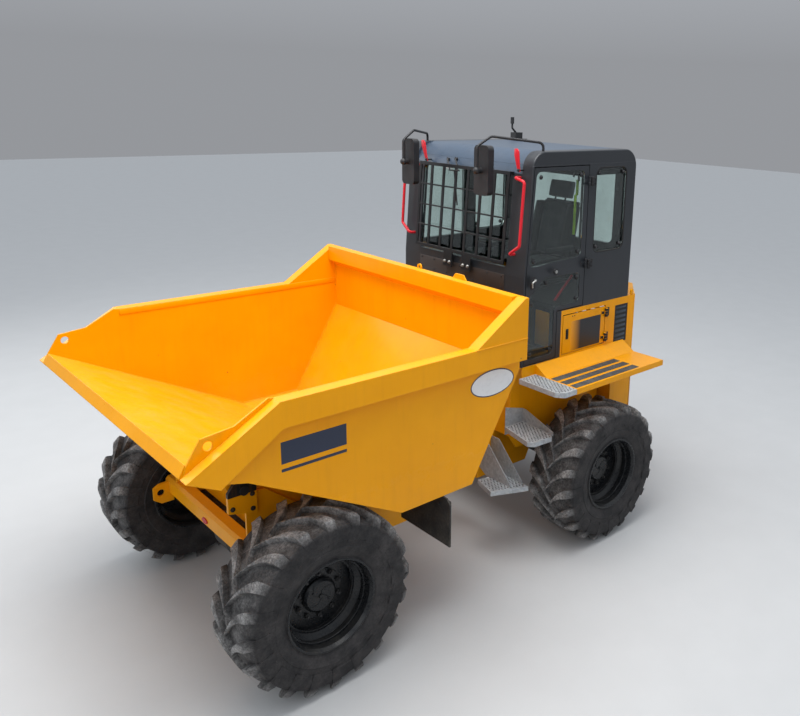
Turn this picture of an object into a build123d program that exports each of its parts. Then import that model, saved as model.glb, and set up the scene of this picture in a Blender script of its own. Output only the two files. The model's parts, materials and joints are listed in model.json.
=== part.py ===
"""Front-tipping articulated site dumper with a glazed cab.

Millimetres. +X points forward, over the skip, +Y to the left and +Z up. The origin is on the ground at the
middle of the machine's length. Stations on the front frame and the skip are measured from the front axle
(FRONT_X), stations on the rear frame and the cab from the rear axle (REAR_X).
"""
from build123d import *
from math import atan2, cos, radians, sin, sqrt, tan
import os

os.makedirs("parts", exist_ok=True)

# Whole machine
WHEELBASE = 2655
TRACK = 1956                # between the wheels' centre planes
FRONT_OVERHANG = 835        # front axle to the skip's lip
REAR_OVERHANG = 1145        # rear axle to the back of the counterweight
STEER_BACK = 1380           # front axle back to the steering pivot
FRONT_X = (WHEELBASE + REAR_OVERHANG - FRONT_OVERHANG) / 2
REAR_X = FRONT_X - WHEELBASE
STEER_X = FRONT_X - STEER_BACK

# Clearances
RUN = 0.05                  # radial, of a pin in its bore
SEAT = 0.3                  # of a pane in its frame
GAP = 8                     # round doors and the hood

# Hinges of the doors and the hood
KNUCKLE_R = 14
KNUCKLE_H = 24
HINGE_PIN_R = 7
LEAF_T = 5
LEAF_L = 45

# Wheels
TYRE_R = 580
TYRE_W = 460
LUGS = 20                   # on each half of the tread
LUG_H = 38
TREAD_R = TYRE_R - LUG_H    # tread floor in the middle
BEAD_R = 286
RIM_HALF_W = 210
RIM_T = 12
FLANGE_H = 14
WELL_R = 252
DISC_Y = 10                 # disc face, outboard of the wheel's centre plane
DISC_T = 14
HUB_R = 110
HUB_OUT = 72
HUB_IN = 90
AXLE_Z = TYRE_R

# Axles
SPINDLE_R = 60
HOUSING_R = 95
DIFF_R = 160
PAD_TOP = AXLE_Z + 100

# Skip
SKIP_HALF_W = 1248
RIM_BOX = 75                # width of the box rim
RIM_DEPTH = 155
PLATE = 12
EAR_HOLE_R = 26
SKIP_TOP = 1985
SKIP_REAR_TOP = 2270
SKIP_REAR_X = -1530
FLOOR_Z = 1020
FLOOR_BACK_X = -1100
FLOOR_KNEE_X = -598
LIP_TOP = (800, 1745)
SKIP_WALL_Y = SKIP_HALF_W - RIM_BOX

# Tipping
TIP_X = 240
TIP_Z = 1190
TIP_PIN_R = 25
LUG_R = 62
BEARER_Y = 480
BEARER_W = 50
BEARER_Z = 940              # underside of the bearers, on their rests
RAM_Y = 300
RAM_BASE = (-300, 550)
RAM_EYE = (-50, 1150)
RAM_R = 55
RAM_BORE_R = 42
ROD_R = 28
EYE_R = 45
RAM_SHAFT_R = 30

# Front frame
FRONT_FRAME_Y = 560
FRAME_PLATE = 20
BEAM_X = (150, 240)
BEAM_Z = (650, 800)
BEAM_HALF_W = 700
TIE_EAR_Y = 651
TIE_HOLE = (300, 707)
TIE_HOLE_R = 26

# Steering pivot
STEER_PIN_R = 45
BOSS_R = 90
BOSS_Z = (560, 780)
CLEVIS_GAP = 5
CLEVIS_T = 30
CLEVIS_R = 110
STEER_BASE = (-405, -300)   # from the pivot
STEER_EYE = (260, -270)     # from the pivot
STEER_Z = 670
STEER_R = 42
STEER_ROD_R = 22
STEER_PIN = 20

# Rear frame
REAR_FRAME_Y = 420
NOSE_BACK = 455             # steering pivot back to the side plates' front ends
NOSE_X = STEER_X - NOSE_BACK
REAR_FRAME_TOP = 900
TUB_Y = 600
TUB_Z = 780
SHEET = 8
BODY_Y = 750
BODY_LOW = 1445
BODY_TOP = 1925
BODY_FRONT = 235
BODY_BACK = -735
SILL_Z = 1535
WING_Y = 1195
WING_Z = 1450
WING_X = (-595, 515)
WING_EDGE = 45
TREAD_L = 180

# Cab
CAB_FRONT = 675
CAB_BACK = -635
CAB_TOP = 3200
CAB_WALL = 45
BELT_Z = 2250               # the front leans back above this height
LEAN = 55
LEAN_TOP = 3050
PILLAR_X = -25
CORNER_R = 12
ROOF_R = (130, 150)          # rounding of the roof line, front and rear
VISOR_L = 260               # curved sheet between the corner plates, from above the screen back to the roof
VISOR_LOW = 3030
VISOR_HALF_W = 640
ROOF_Z = 3075
DOOR_T = 35
DOOR_FRONT = 22             # door edge behind the front face
GLASS = 6


def save(piece, name):
    """Label a finished piece and write it."""
    piece.part.label = name
    export_step(piece.part, f"parts/{name}.step")


def at_front(points):
    """Side-view points measured from the front axle."""
    return [(FRONT_X + x, z) for x, z in points]


def at_rear(points):
    """Side-view points measured from the rear axle."""
    return [(REAR_X + x, z) for x, z in points]


def side(y):
    """Side-view plane at y: X forward, Z up. Extruding by a positive amount goes inwards from the left."""
    return Plane.XZ.offset(-y)


def cab_front(z):
    """Front face of the cab at height z, from the rear axle."""
    return CAB_FRONT - max(0, z - BELT_Z) * LEAN / (LEAN_TOP - BELT_Z)


def hinge(axis_plane, moving):
    """One half of a hinge. The plane's origin is on the panel's face, its Z is the pin, its X points to the
    moving panel and its Y outwards. The fixed half has two knuckles and the pin, the moving half one knuckle."""
    sign = 1 if moving else -1
    centres = (0,) if moving else (KNUCKLE_H + 1, -KNUCKLE_H - 1)
    with BuildPart() as half:
        for centre in centres:
            with BuildSketch(axis_plane.offset(centre - KNUCKLE_H / 2)):
                Polygon((0, 0), (sign * LEAF_L, 0), (sign * LEAF_L, LEAF_T), (sign * KNUCKLE_R, LEAF_T),
                        (sign * KNUCKLE_R, KNUCKLE_R), (0, KNUCKLE_R), align=None)
                with Locations((0, KNUCKLE_R)):
                    Circle(KNUCKLE_R)
                    if moving:
                        Circle(HINGE_PIN_R + RUN, mode=Mode.SUBTRACT)
            extrude(amount=KNUCKLE_H)
        if not moving:
            with BuildSketch(axis_plane.offset(-1.5 * KNUCKLE_H - 1)):
                with Locations((0, KNUCKLE_R)):
                    Circle(HINGE_PIN_R)
            extrude(amount=3 * KNUCKLE_H + 2)
    return half.part


# Skip floor: one plate with two folds, up to the rear wall and up to the lip
KNEE_Z = 1740
WALL_IN_X = SKIP_REAR_X + PLATE
REAR_FOLD = atan2(KNEE_Z - FLOOR_Z, FLOOR_BACK_X - WALL_IN_X)
LIP_FOLD = atan2(LIP_TOP[1] - FLOOR_Z, LIP_TOP[0] - FLOOR_KNEE_X)
LIP_NOSE = (FRONT_OVERHANG, 1680)


def floor_under(x):
    """Underside of the skip's sloping floor at x from the front axle."""
    return FLOOR_Z + (x - FLOOR_KNEE_X) * tan(LIP_FOLD) - PLATE / cos(LIP_FOLD)


floor_section = [
    (WALL_IN_X, KNEE_Z), (FLOOR_BACK_X, FLOOR_Z), (FLOOR_KNEE_X, FLOOR_Z), LIP_TOP,
    (LIP_TOP[0] + PLATE * sin(LIP_FOLD), LIP_TOP[1] - PLATE * cos(LIP_FOLD)),
    (FLOOR_KNEE_X + PLATE * tan(LIP_FOLD / 2), FLOOR_Z - PLATE),
    (FLOOR_BACK_X - PLATE * tan(REAR_FOLD / 2), FLOOR_Z - PLATE),
    (WALL_IN_X - PLATE / sin(REAR_FOLD), KNEE_Z),
]

# Skip sides, with the lifting ears
side_outline = [
    (SKIP_REAR_X, SKIP_REAR_TOP), (SKIP_REAR_X - 4, KNEE_Z), (FLOOR_BACK_X - 10, FLOOR_Z - 18),
    (-520, FLOOR_Z - 18),
    (480, 1545), (670, 1595), (LIP_NOSE[0] - 12, LIP_NOSE[1] - 12), (800, 1738), (720, 1865), (540, 1885),
    (345, 1992), (315, SKIP_TOP), (-1065, SKIP_TOP), (-1500, SKIP_REAR_TOP),
]
EAR_HOLE = (683, 1818)
with BuildPart() as skip_sides:
    with BuildSketch(side(SKIP_WALL_Y)):
        Polygon(*at_front(side_outline), align=None)
        with Locations(*at_front([EAR_HOLE])):
            Circle(EAR_HOLE_R, mode=Mode.SUBTRACT)
    extrude(amount=PLATE)
    mirror(about=Plane.XZ)
save(skip_sides, "skip_sides")

# Skip rims: box sections outside the side plates, with the rear gussets
rim_outline = [
    (SKIP_REAR_X, SKIP_TOP - RIM_DEPTH), (300, SKIP_TOP - RIM_DEPTH), (660, 1592), LIP_NOSE,
    (315, SKIP_TOP), (-1065, SKIP_TOP), (-1500, SKIP_REAR_TOP), (SKIP_REAR_X, SKIP_REAR_TOP),
]
with BuildPart() as skip_rims:
    with BuildSketch(side(SKIP_HALF_W)):
        Polygon(*at_front(rim_outline), align=None)
    extrude(amount=RIM_BOX)
    mirror(about=Plane.XZ)
save(skip_rims, "skip_rims")

# Skip floor: one folded plate between the side plates, with the box lip
FLOOR_HALF_W = SKIP_WALL_Y - PLATE
with BuildPart() as skip_floor:
    with BuildSketch(Plane.XZ):
        Polygon(*at_front(floor_section), align=None)
        Polygon(*at_front([LIP_TOP, LIP_NOSE, (655, 1575), (560, floor_under(560) + 2)]), align=None)
    extrude(amount=FLOOR_HALF_W, both=True)
save(skip_floor, "skip_floor")

# Skip rear wall with its box rim, a tab and a lifting ring
TAB_H = 38
with BuildPart() as skip_rear:
    with BuildSketch(Plane.XZ):
        Polygon(*at_front([
            (SKIP_REAR_X, KNEE_Z), (WALL_IN_X, KNEE_Z), (WALL_IN_X, 2100),
            (SKIP_REAR_X + RIM_BOX, 2150), (SKIP_REAR_X + RIM_BOX, SKIP_REAR_TOP), (SKIP_REAR_X, SKIP_REAR_TOP),
        ]), align=None)
    extrude(amount=FLOOR_HALF_W, both=True)
    with BuildSketch(Plane.YZ.offset(FRONT_X + SKIP_REAR_X)):
        Polygon((455, SKIP_REAR_TOP), (605, SKIP_REAR_TOP), (575, SKIP_REAR_TOP + TAB_H),
                (485, SKIP_REAR_TOP + TAB_H), align=None)
        with Locations((50, SKIP_REAR_TOP + 12)):
            Circle(26)
            Circle(13, mode=Mode.SUBTRACT)
        with Locations((50, SKIP_REAR_TOP)):
            Rectangle(80, 80, align=(Align.CENTER, Align.MAX), mode=Mode.SUBTRACT)
    extrude(amount=PLATE)
save(skip_rear, "skip_rear")

# Skip bearers, with the pivot lugs, and the ram lugs
bearer_outline = [
    (-1050, FLOOR_Z - PLATE), (FLOOR_KNEE_X + PLATE * tan(LIP_FOLD / 2), FLOOR_Z - PLATE),
    (540, floor_under(540)), (500, 1530), (TIP_X + 85, 1200), (TIP_X + 50, TIP_Z - 40),
    (TIP_X - 50, TIP_Z - 45), (-150, BEARER_Z), (-1050, BEARER_Z),
]
RAM_LUG_T = 18
RAM_LUG_IN = 36             # from the ram's centre plane to a lug
with BuildPart() as skip_bearers:
    with BuildSketch(side(BEARER_Y + BEARER_W)):
        Polygon(*at_front(bearer_outline), align=None)
        with Locations(*at_front([(TIP_X, TIP_Z)])):
            Circle(LUG_R)
            Circle(TIP_PIN_R + RUN, mode=Mode.SUBTRACT)
    extrude(amount=BEARER_W)
    for lug_y in (RAM_Y + RAM_LUG_IN + RAM_LUG_T, RAM_Y - RAM_LUG_IN):
        with BuildSketch(side(lug_y)):
            Polygon(*at_front([
                (RAM_EYE[0] - 110, floor_under(RAM_EYE[0] - 110)),
                (RAM_EYE[0] + 110, floor_under(RAM_EYE[0] + 110)),
                (RAM_EYE[0] + 44, RAM_EYE[1]), (RAM_EYE[0] - 44, RAM_EYE[1]),
            ]), align=None)
            with Locations(*at_front([RAM_EYE])):
                Circle(EYE_R)
                Circle(RAM_SHAFT_R - 8, mode=Mode.SUBTRACT)
        extrude(amount=RAM_LUG_T)
    mirror(about=Plane.XZ)
save(skip_bearers, "skip_bearers")

# Front frame: side plates, cross plates and the steering clevis
PLATE_FRONT = 220           # front edge of the side plates
front_plate = [
    (-180, PAD_TOP), (PLATE_FRONT - 20, PAD_TOP), (PLATE_FRONT, PAD_TOP + 20), (PLATE_FRONT, 1143), (90, 1143),
    (-150, 950), (-900, 950),
    (-1050, 860), (-1050, 500), (-260, 500),
]
CLEVIS_BACK = -1050         # rear cross plate, which carries the clevis
CROSS_PLATES = [            # station, underside, top
    (CLEVIS_BACK, 500, 860),
    (-480, 500, 800),
    (60, 760, 1000),
]
PIN_Z = (BOSS_Z[0] - CLEVIS_GAP - CLEVIS_T - 8, BOSS_Z[1] + CLEVIS_GAP + CLEVIS_T + 12)
REST_X = (-960, -840)
REST_H = 12
base = Vector(STEER_X + STEER_BASE[0], STEER_BASE[1], STEER_Z)
eye = Vector(STEER_X + STEER_EYE[0], STEER_EYE[1], STEER_Z)
clevis_root = FRONT_X + CLEVIS_BACK + FRAME_PLATE / 2
with BuildPart() as front_chassis:
    with BuildSketch(side(FRONT_FRAME_Y)):
        Polygon(*at_front(front_plate), align=None)
    extrude(amount=FRAME_PLATE)
    mirror(about=Plane.XZ)
    for cross_x, low, high in CROSS_PLATES:
        with BuildSketch(Plane.YZ.offset(FRONT_X + cross_x)):
            with Locations((0, (low + high) / 2)):
                Rectangle(2 * FRONT_FRAME_Y - 1, high - low)
        extrude(amount=FRAME_PLATE)
    for clevis_z in (BOSS_Z[0] - CLEVIS_GAP - CLEVIS_T, BOSS_Z[1] + CLEVIS_GAP):
        with BuildSketch(Plane.XY.offset(clevis_z)):
            with BuildLine():
                Line((clevis_root, 260), (clevis_root, -260))
                Line((clevis_root, -260), (STEER_X, -CLEVIS_R))
                ThreePointArc((STEER_X, -CLEVIS_R), (STEER_X - CLEVIS_R, 0), (STEER_X, CLEVIS_R))
                Line((STEER_X, CLEVIS_R), (clevis_root, 260))
            make_face()
        extrude(amount=CLEVIS_T)
    with BuildSketch(Plane.XY.offset(PIN_Z[0])):
        with Locations((STEER_X, 0)):
            Circle(STEER_PIN_R)
    extrude(amount=PIN_Z[1] - PIN_Z[0])
    with BuildSketch(side(FRONT_FRAME_Y + 10)):
        with Locations(*at_front([RAM_BASE])):
            Circle(RAM_SHAFT_R)
    extrude(amount=2 * (FRONT_FRAME_Y + 10))
    with BuildSketch(side(FRONT_FRAME_Y - FRAME_PLATE / 2)):
        Polygon(*at_front([(REST_X[0], 850), (REST_X[1], 850), (REST_X[1], BEARER_Z - REST_H),
                           (REST_X[0], BEARER_Z - REST_H)]), align=None)
    extrude(amount=2 * FRONT_FRAME_Y - FRAME_PLATE)
    for bracket_z in (STEER_Z - 62, STEER_Z + 42):
        with BuildSketch(Plane.XY.offset(bracket_z)):
            with Locations((eye.X, eye.Y)):
                Circle(40)
            Polygon((clevis_root - 9, eye.Y - 60), (clevis_root - 9, eye.Y + 60), (eye.X, eye.Y + 40),
                    (eye.X, eye.Y - 40), align=None)
        extrude(amount=20)
save(front_chassis, "front_chassis")

# Front beam round the side plates, with its tie-down ears
beam_section = [
    (BEAM_X[0], BEAM_Z[0]), (BEAM_X[1] - 30, BEAM_Z[0]), (BEAM_X[1], BEAM_Z[0] + 40),
    (BEAM_X[1], BEAM_Z[1] - 20), (BEAM_X[1] - 20, BEAM_Z[1]), (BEAM_X[0], BEAM_Z[1]),
]
tie_ear = [
    (BEAM_X[1] - 30, 622), (300, 622), (352, 660), (352, 750), (310, 775), (BEAM_X[1] - 30, BEAM_Z[1] - 20),
]
with BuildPart() as front_beam:
    with BuildSketch(Plane.XZ):
        Polygon(*at_front(beam_section), align=None)
    extrude(amount=BEAM_HALF_W, both=True)
    for plate_y in (FRONT_FRAME_Y, FRAME_PLATE - FRONT_FRAME_Y):
        with BuildSketch(side(plate_y)):
            Polygon(*at_front([(BEAM_X[0] - 1, BEAM_Z[0] - 1), (PLATE_FRONT, BEAM_Z[0] - 1),
                               (PLATE_FRONT, BEAM_Z[1] + 1), (BEAM_X[0] - 1, BEAM_Z[1] + 1)]), align=None)
        extrude(amount=FRAME_PLATE, mode=Mode.SUBTRACT)
    for ear_y in (TIE_EAR_Y, -TIE_EAR_Y):
        with BuildSketch(side(ear_y + FRAME_PLATE / 2)):
            Polygon(*at_front(tie_ear), align=None)
            with Locations(*at_front([TIE_HOLE])):
                Circle(TIE_HOLE_R, mode=Mode.SUBTRACT)
        extrude(amount=FRAME_PLATE)
save(front_beam, "front_beam")

# Skip pivots: lugs bolted outside the side plates, with their pins
LUG_OUT = 25
with BuildPart() as skip_pivots:
    with BuildSketch(side(FRONT_FRAME_Y + LUG_OUT)):
        Polygon(*at_front([(155, 1010), (342, 1060), (342, 1190), (290, 1258), (190, 1258), (155, 1190)]),
                align=None)
    extrude(amount=LUG_OUT)
    with BuildSketch(side(FRONT_FRAME_Y + LUG_OUT + 12)):
        with Locations(*at_front([(TIP_X, TIP_Z)])):
            Circle(TIP_PIN_R)
    extrude(amount=FRONT_FRAME_Y + LUG_OUT + 12 - BEARER_Y + 10)
    mirror(about=Plane.XZ)
save(skip_pivots, "skip_pivots")

# Rubber rests under the skip's bearers
with BuildPart() as skip_rests:
    for rest_y in (BEARER_Y + BEARER_W, -BEARER_Y):
        with BuildSketch(side(rest_y)):
            Polygon(*at_front([(REST_X[0] + 20, BEARER_Z - REST_H), (REST_X[1] - 20, BEARER_Z - REST_H),
                               (REST_X[1] - 20, BEARER_Z), (REST_X[0] + 20, BEARER_Z)]), align=None)
        extrude(amount=BEARER_W)
save(skip_rests, "skip_rests")

# Mud flaps on arms behind the front wheels
FLAP_X = -880
FLAP_Z = (640, 985)
FLAP_CUT = 38
FLAP_ARM_Z = 920
flap_in = (TRACK - TYRE_W) / 2 - 58
flap_out = (TRACK + TYRE_W) / 2 + 22
with BuildPart() as mud_flaps:
    with BuildSketch(Plane.YZ.offset(FRONT_X + FLAP_X)):
        Polygon((flap_in, FLAP_Z[0]), (flap_out, FLAP_Z[0]), (flap_out, FLAP_Z[1] - FLAP_CUT),
                (flap_out - FLAP_CUT, FLAP_Z[1]), (flap_in, FLAP_Z[1]), align=None)
    extrude(amount=PLATE)
    with BuildSketch(side(flap_out - FLAP_CUT)):
        with Locations(*at_front([(FLAP_X - 15, FLAP_ARM_Z)])):
            Rectangle(30, 60)
    extrude(amount=flap_out - FLAP_CUT - FRONT_FRAME_Y)
    mirror(about=Plane.XZ)
save(mud_flaps, "mud_flaps")

# Tipping rams: barrels on a shaft through the front frame, rods to the skip
ram_dx = RAM_EYE[0] - RAM_BASE[0]
ram_dz = RAM_EYE[1] - RAM_BASE[1]
RAM_LEN = sqrt(ram_dx ** 2 + ram_dz ** 2)
BARREL_LEN = 500
ram_plane = Plane(origin=(FRONT_X + RAM_BASE[0], RAM_Y, RAM_BASE[1]), x_dir=(0, 1, 0),
                  z_dir=(ram_dx, 0, ram_dz))
EYE_W = 60
with BuildPart() as tip_barrels:
    with BuildSketch(ram_plane):
        Circle(RAM_R)
    extrude(amount=BARREL_LEN)
    with BuildSketch(side(RAM_Y + EYE_W / 2)):
        with Locations(*at_front([RAM_BASE])):
            Circle(RAM_SHAFT_R + 25)
    extrude(amount=EYE_W)
    with BuildSketch(ram_plane.offset(RAM_SHAFT_R + 40)):
        Circle(RAM_BORE_R)
    extrude(amount=BARREL_LEN, mode=Mode.SUBTRACT)
    with BuildSketch(ram_plane.offset(BARREL_LEN - 25)):
        Circle(RAM_BORE_R)
        Circle(ROD_R + RUN, mode=Mode.SUBTRACT)
    extrude(amount=25)
    with BuildSketch(side(RAM_Y + EYE_W)):
        with Locations(*at_front([RAM_BASE])):
            Circle(RAM_SHAFT_R + RUN)
    extrude(amount=2 * EYE_W, mode=Mode.SUBTRACT)
    mirror(about=Plane.XZ)
save(tip_barrels, "tip_barrels")

with BuildPart() as tip_rods:
    with BuildSketch(ram_plane.offset(RAM_SHAFT_R + 60)):
        Circle(ROD_R)
    extrude(amount=RAM_LEN - RAM_SHAFT_R - 60 - ROD_R / 2)
    with BuildSketch(ram_plane.offset(RAM_SHAFT_R + 60)):
        Circle(RAM_BORE_R - RUN)
    extrude(amount=50)
    with BuildSketch(side(RAM_Y + EYE_W / 2)):
        with Locations(*at_front([RAM_EYE])):
            Circle(EYE_R)
    extrude(amount=EYE_W)
    mirror(about=Plane.XZ)
save(tip_rods, "tip_rods")


# Axles: housing, differential, frame pads and wheel spindles
def axle(axle_x, pad_y, name):
    wheel_in = TRACK / 2 - HUB_IN
    half_profile = [
        (0, 0), (DIFF_R, 0), (DIFF_R, 90), (HOUSING_R + 10, 210), (HOUSING_R, 260), (HOUSING_R, wheel_in - 80),
        (HOUSING_R + 25, wheel_in - 50), (HOUSING_R + 25, wheel_in - GAP), (SPINDLE_R, wheel_in - GAP),
        (SPINDLE_R, TRACK / 2 + DISC_Y - 10), (0, TRACK / 2 + DISC_Y - 10),
    ]
    line = Axis((axle_x, 0, AXLE_Z), (0, 1, 0))
    with BuildPart() as housing:
        with BuildSketch(Plane.XY.offset(AXLE_Z)):
            Polygon(*[(axle_x + r, y) for r, y in half_profile], align=None)
        revolve(axis=line)
        mirror(about=Plane.XZ)
        with BuildSketch(Plane.XY.offset(AXLE_Z + HOUSING_R - 40)):
            with Locations((axle_x, pad_y), (axle_x, -pad_y)):
                Rectangle(220, 90)
        extrude(amount=PAD_TOP - (AXLE_Z + HOUSING_R - 40))
    save(housing, name)


axle(FRONT_X, FRONT_FRAME_Y - FRAME_PLATE / 2, "front_axle")
axle(REAR_X, REAR_FRAME_Y - FRAME_PLATE / 2, "rear_axle")


# Wheels: rim and tyre are turned about the axle, their outboard side away from the machine
def rim(axle_x, sign, name):
    seat_r = BEAD_R - SEAT
    flange = BEAD_R + FLANGE_H
    w = RIM_HALF_W
    barrel = [
        (flange, -w), (flange, 12 - w), (seat_r, 12 - w), (seat_r, -125), (WELL_R, -100), (WELL_R, 60),
        (seat_r, 85), (seat_r, w - 12), (flange, w - 12), (flange, w), (flange - RIM_T, w),
        (seat_r - RIM_T, w - 22), (seat_r - RIM_T, 92), (WELL_R - RIM_T, 66), (WELL_R - RIM_T, -106),
        (seat_r - RIM_T, -131), (seat_r - RIM_T, 22 - w), (flange - RIM_T, -w),
    ]
    disc = [
        (WELL_R - RIM_T / 2, DISC_Y), (WELL_R - RIM_T / 2, DISC_Y + DISC_T), (HUB_R + 50, DISC_Y + DISC_T),
        (HUB_R + 50, DISC_Y + 24), (HUB_R, DISC_Y + 24), (HUB_R, HUB_OUT - 15), (HUB_R - 15, HUB_OUT),
        (0, HUB_OUT), (0, DISC_Y + DISC_T), (SPINDLE_R + RUN, DISC_Y + DISC_T), (SPINDLE_R + RUN, -HUB_IN),
        (HUB_R, -HUB_IN), (HUB_R, DISC_Y),
    ]
    centre = sign * TRACK / 2
    line = Axis((axle_x, 0, AXLE_Z), (0, 1, 0))
    with BuildPart() as turned:
        with BuildSketch(Plane.XY.offset(AXLE_Z)):
            Polygon(*[(axle_x + r, centre + sign * y) for r, y in barrel], align=None)
            Polygon(*[(axle_x + r, centre + sign * y) for r, y in disc], align=None)
        revolve(axis=line)
    save(turned, name)


# Tyre carcass: half section as radius and distance from the middle, from the bead to the tread
tyre_half = TYRE_W / 2
carcass = [
    (BEAD_R, RIM_HALF_W - 14), (BEAD_R + FLANGE_H + 4, RIM_HALF_W - 14), (BEAD_R + 60, tyre_half - 14),
    (BEAD_R + 140, tyre_half), (TREAD_R - 36, tyre_half - 3), (TREAD_R, tyre_half - 36),
]
# A lug at the top of the tyre, from its root inside the carcass: flat faces along the tread and over the shoulder
LUG_ROOT = TREAD_R - 50
LUG_HALF = radians(14)
lug_flank = [
    (-TYRE_R * sin(LUG_HALF), LUG_ROOT), (TYRE_R * sin(LUG_HALF), LUG_ROOT),
    (TYRE_R * sin(LUG_HALF), TYRE_R * cos(LUG_HALF)), (0, TYRE_R), (-TYRE_R * sin(LUG_HALF), TYRE_R * cos(LUG_HALF)),
]
lug_shoulder = [
    (-40, LUG_ROOT), (tyre_half - 12, LUG_ROOT), (tyre_half + 2, LUG_ROOT + 25), (tyre_half - 20, TYRE_R - 22),
    (tyre_half - 120, TYRE_R + 6), (-40, TYRE_R + 6),
]
# Lug seen from outside: along the tread, forwards, and across it, from the shoulder past the middle
lug_plan = [
    (-66, tyre_half + 4), (-34, 105), (104, 20), (96, -24), (-90, 92), (-136, tyre_half + 4),
]


def both_halves(points):
    """Closed section from one half's points."""
    return points + [(r, -y) for r, y in reversed(points) if y > 0]


with BuildPart() as lug:
    with BuildSketch(Plane.XY.offset(LUG_ROOT)):
        Polygon(*lug_plan, align=None)
    extrude(amount=TYRE_R - LUG_ROOT)
    with BuildSketch(Plane.XZ.offset(-TYRE_W)):
        Polygon(*lug_flank, align=None)
    extrude(amount=2 * TYRE_W, mode=Mode.INTERSECT)
    with BuildSketch(Plane.YZ.offset(-TYRE_R)):
        Polygon(*lug_shoulder, align=None)
    extrude(amount=2 * TYRE_R, mode=Mode.INTERSECT)

with BuildPart() as tread:
    with BuildSketch(Plane.XY):
        Polygon(*both_halves(carcass), align=None)
    revolve(axis=Axis.Y)
    pitch = 360 / LUGS
    right_lug = lug.part.mirror(Plane.XZ)
    add([lug.part.rotate(Axis.Y, i * pitch) for i in range(LUGS)])
    add([right_lug.rotate(Axis.Y, (i + 0.5) * pitch) for i in range(LUGS)])


def tyre(axle_x, sign, name):
    with BuildPart() as moulded:
        add(tread.part.moved(Location((axle_x, sign * TRACK / 2, AXLE_Z))))
    save(moulded, name)


WHEELS = [
    ("front_left", FRONT_X, 1),
    ("front_right", FRONT_X, -1),
    ("rear_left", REAR_X, 1),
    ("rear_right", REAR_X, -1),
]
for place, wheel_x, wheel_sign in WHEELS:
    rim(wheel_x, wheel_sign, f"rim_{place}")
    tyre(wheel_x, wheel_sign, f"tyre_{place}")

# Steering cylinder, on the right of the pivot
STEER_LEN = (eye - base).length
STEER_BARREL = 410
STEER_PISTON = 200          # piston's back face from the base pin, at rest
steer_plane = Plane(origin=base, x_dir=(0, 0, 1), z_dir=eye - base)
with BuildPart() as steer_barrel:
    with BuildSketch(steer_plane):
        Circle(STEER_R)
    extrude(amount=STEER_BARREL)
    with BuildSketch(Plane.XY.offset(STEER_Z - 35)):
        with Locations((base.X, base.Y)):
            Circle(STEER_PIN + 22)
    extrude(amount=70)
    with BuildSketch(steer_plane.offset(50)):
        Circle(STEER_R - 10)
    extrude(amount=STEER_BARREL - 50, mode=Mode.SUBTRACT)
    with BuildSketch(steer_plane.offset(STEER_BARREL - 25)):
        Circle(STEER_R - 10)
        Circle(STEER_ROD_R + RUN, mode=Mode.SUBTRACT)
    extrude(amount=25)
    with BuildSketch(Plane.XY.offset(STEER_Z - 60)):
        with Locations((base.X, base.Y)):
            Circle(STEER_PIN + RUN)
    extrude(amount=120, mode=Mode.SUBTRACT)
save(steer_barrel, "steer_barrel")

with BuildPart() as steer_rod:
    with BuildSketch(steer_plane.offset(STEER_PISTON)):
        Circle(STEER_ROD_R)
    extrude(amount=STEER_LEN - STEER_PISTON - STEER_PIN)
    with BuildSketch(steer_plane.offset(STEER_PISTON)):
        Circle(STEER_R - 10 - RUN)
    extrude(amount=40)
    with BuildSketch(Plane.XY.offset(STEER_Z - 25)):
        with Locations((eye.X, eye.Y)):
            Circle(STEER_PIN + 18)
    extrude(amount=50)
save(steer_rod, "steer_rod")

# Rear frame: side plates, cross plates, nose and pivot boss
FRAME_FRONT = NOSE_X - REAR_X
rear_plate = [
    (-1000, 560), (-1000, REAR_FRAME_TOP), (FRAME_FRONT, REAR_FRAME_TOP), (FRAME_FRONT, 520), (260, 520),
    (180, PAD_TOP), (-180, PAD_TOP), (-260, 560),
]
with BuildPart() as rear_chassis:
    with BuildSketch(side(REAR_FRAME_Y)):
        Polygon(*at_rear(rear_plate), align=None)
    extrude(amount=FRAME_PLATE)
    mirror(about=Plane.XZ)
    for cross_x, low in ((-1000, 560), (-400, 700), (400, 520), (FRAME_FRONT - FRAME_PLATE, 520)):
        with BuildSketch(Plane.YZ.offset(REAR_X + cross_x)):
            with Locations((0, (low + REAR_FRAME_TOP) / 2)):
                Rectangle(2 * REAR_FRAME_Y - 1, REAR_FRAME_TOP - low)
        extrude(amount=FRAME_PLATE)
    nose_x = STEER_X - CLEVIS_R - 25
    with BuildSketch(Plane.XY.offset(BOSS_Z[0])):
        Polygon((NOSE_X - 5, 200), (nose_x, 100), (nose_x, -100), (NOSE_X - 5, -200), align=None)
        Polygon((nose_x - 5, 60), (STEER_X, 60), (STEER_X, -60), (nose_x - 5, -60), align=None)
        with Locations((STEER_X, 0)):
            Circle(BOSS_R)
            Circle(STEER_PIN_R + RUN, mode=Mode.SUBTRACT)
    extrude(amount=BOSS_Z[1] - BOSS_Z[0])
    for bracket_z in (STEER_Z - 62, STEER_Z + 42):
        with BuildSketch(Plane.XY.offset(bracket_z)):
            Polygon((NOSE_X - 1, base.Y - 60), (NOSE_X - 1, base.Y + 60), (base.X, base.Y + 40),
                    (base.X, base.Y - 40), align=None)
            with Locations((base.X, base.Y)):
                Circle(40)
        extrude(amount=20)
    with BuildSketch(Plane.XY.offset(STEER_Z - 62)):
        with Locations((base.X, base.Y)):
            Circle(STEER_PIN)
    extrude(amount=124)
save(rear_chassis, "rear_chassis")

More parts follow.
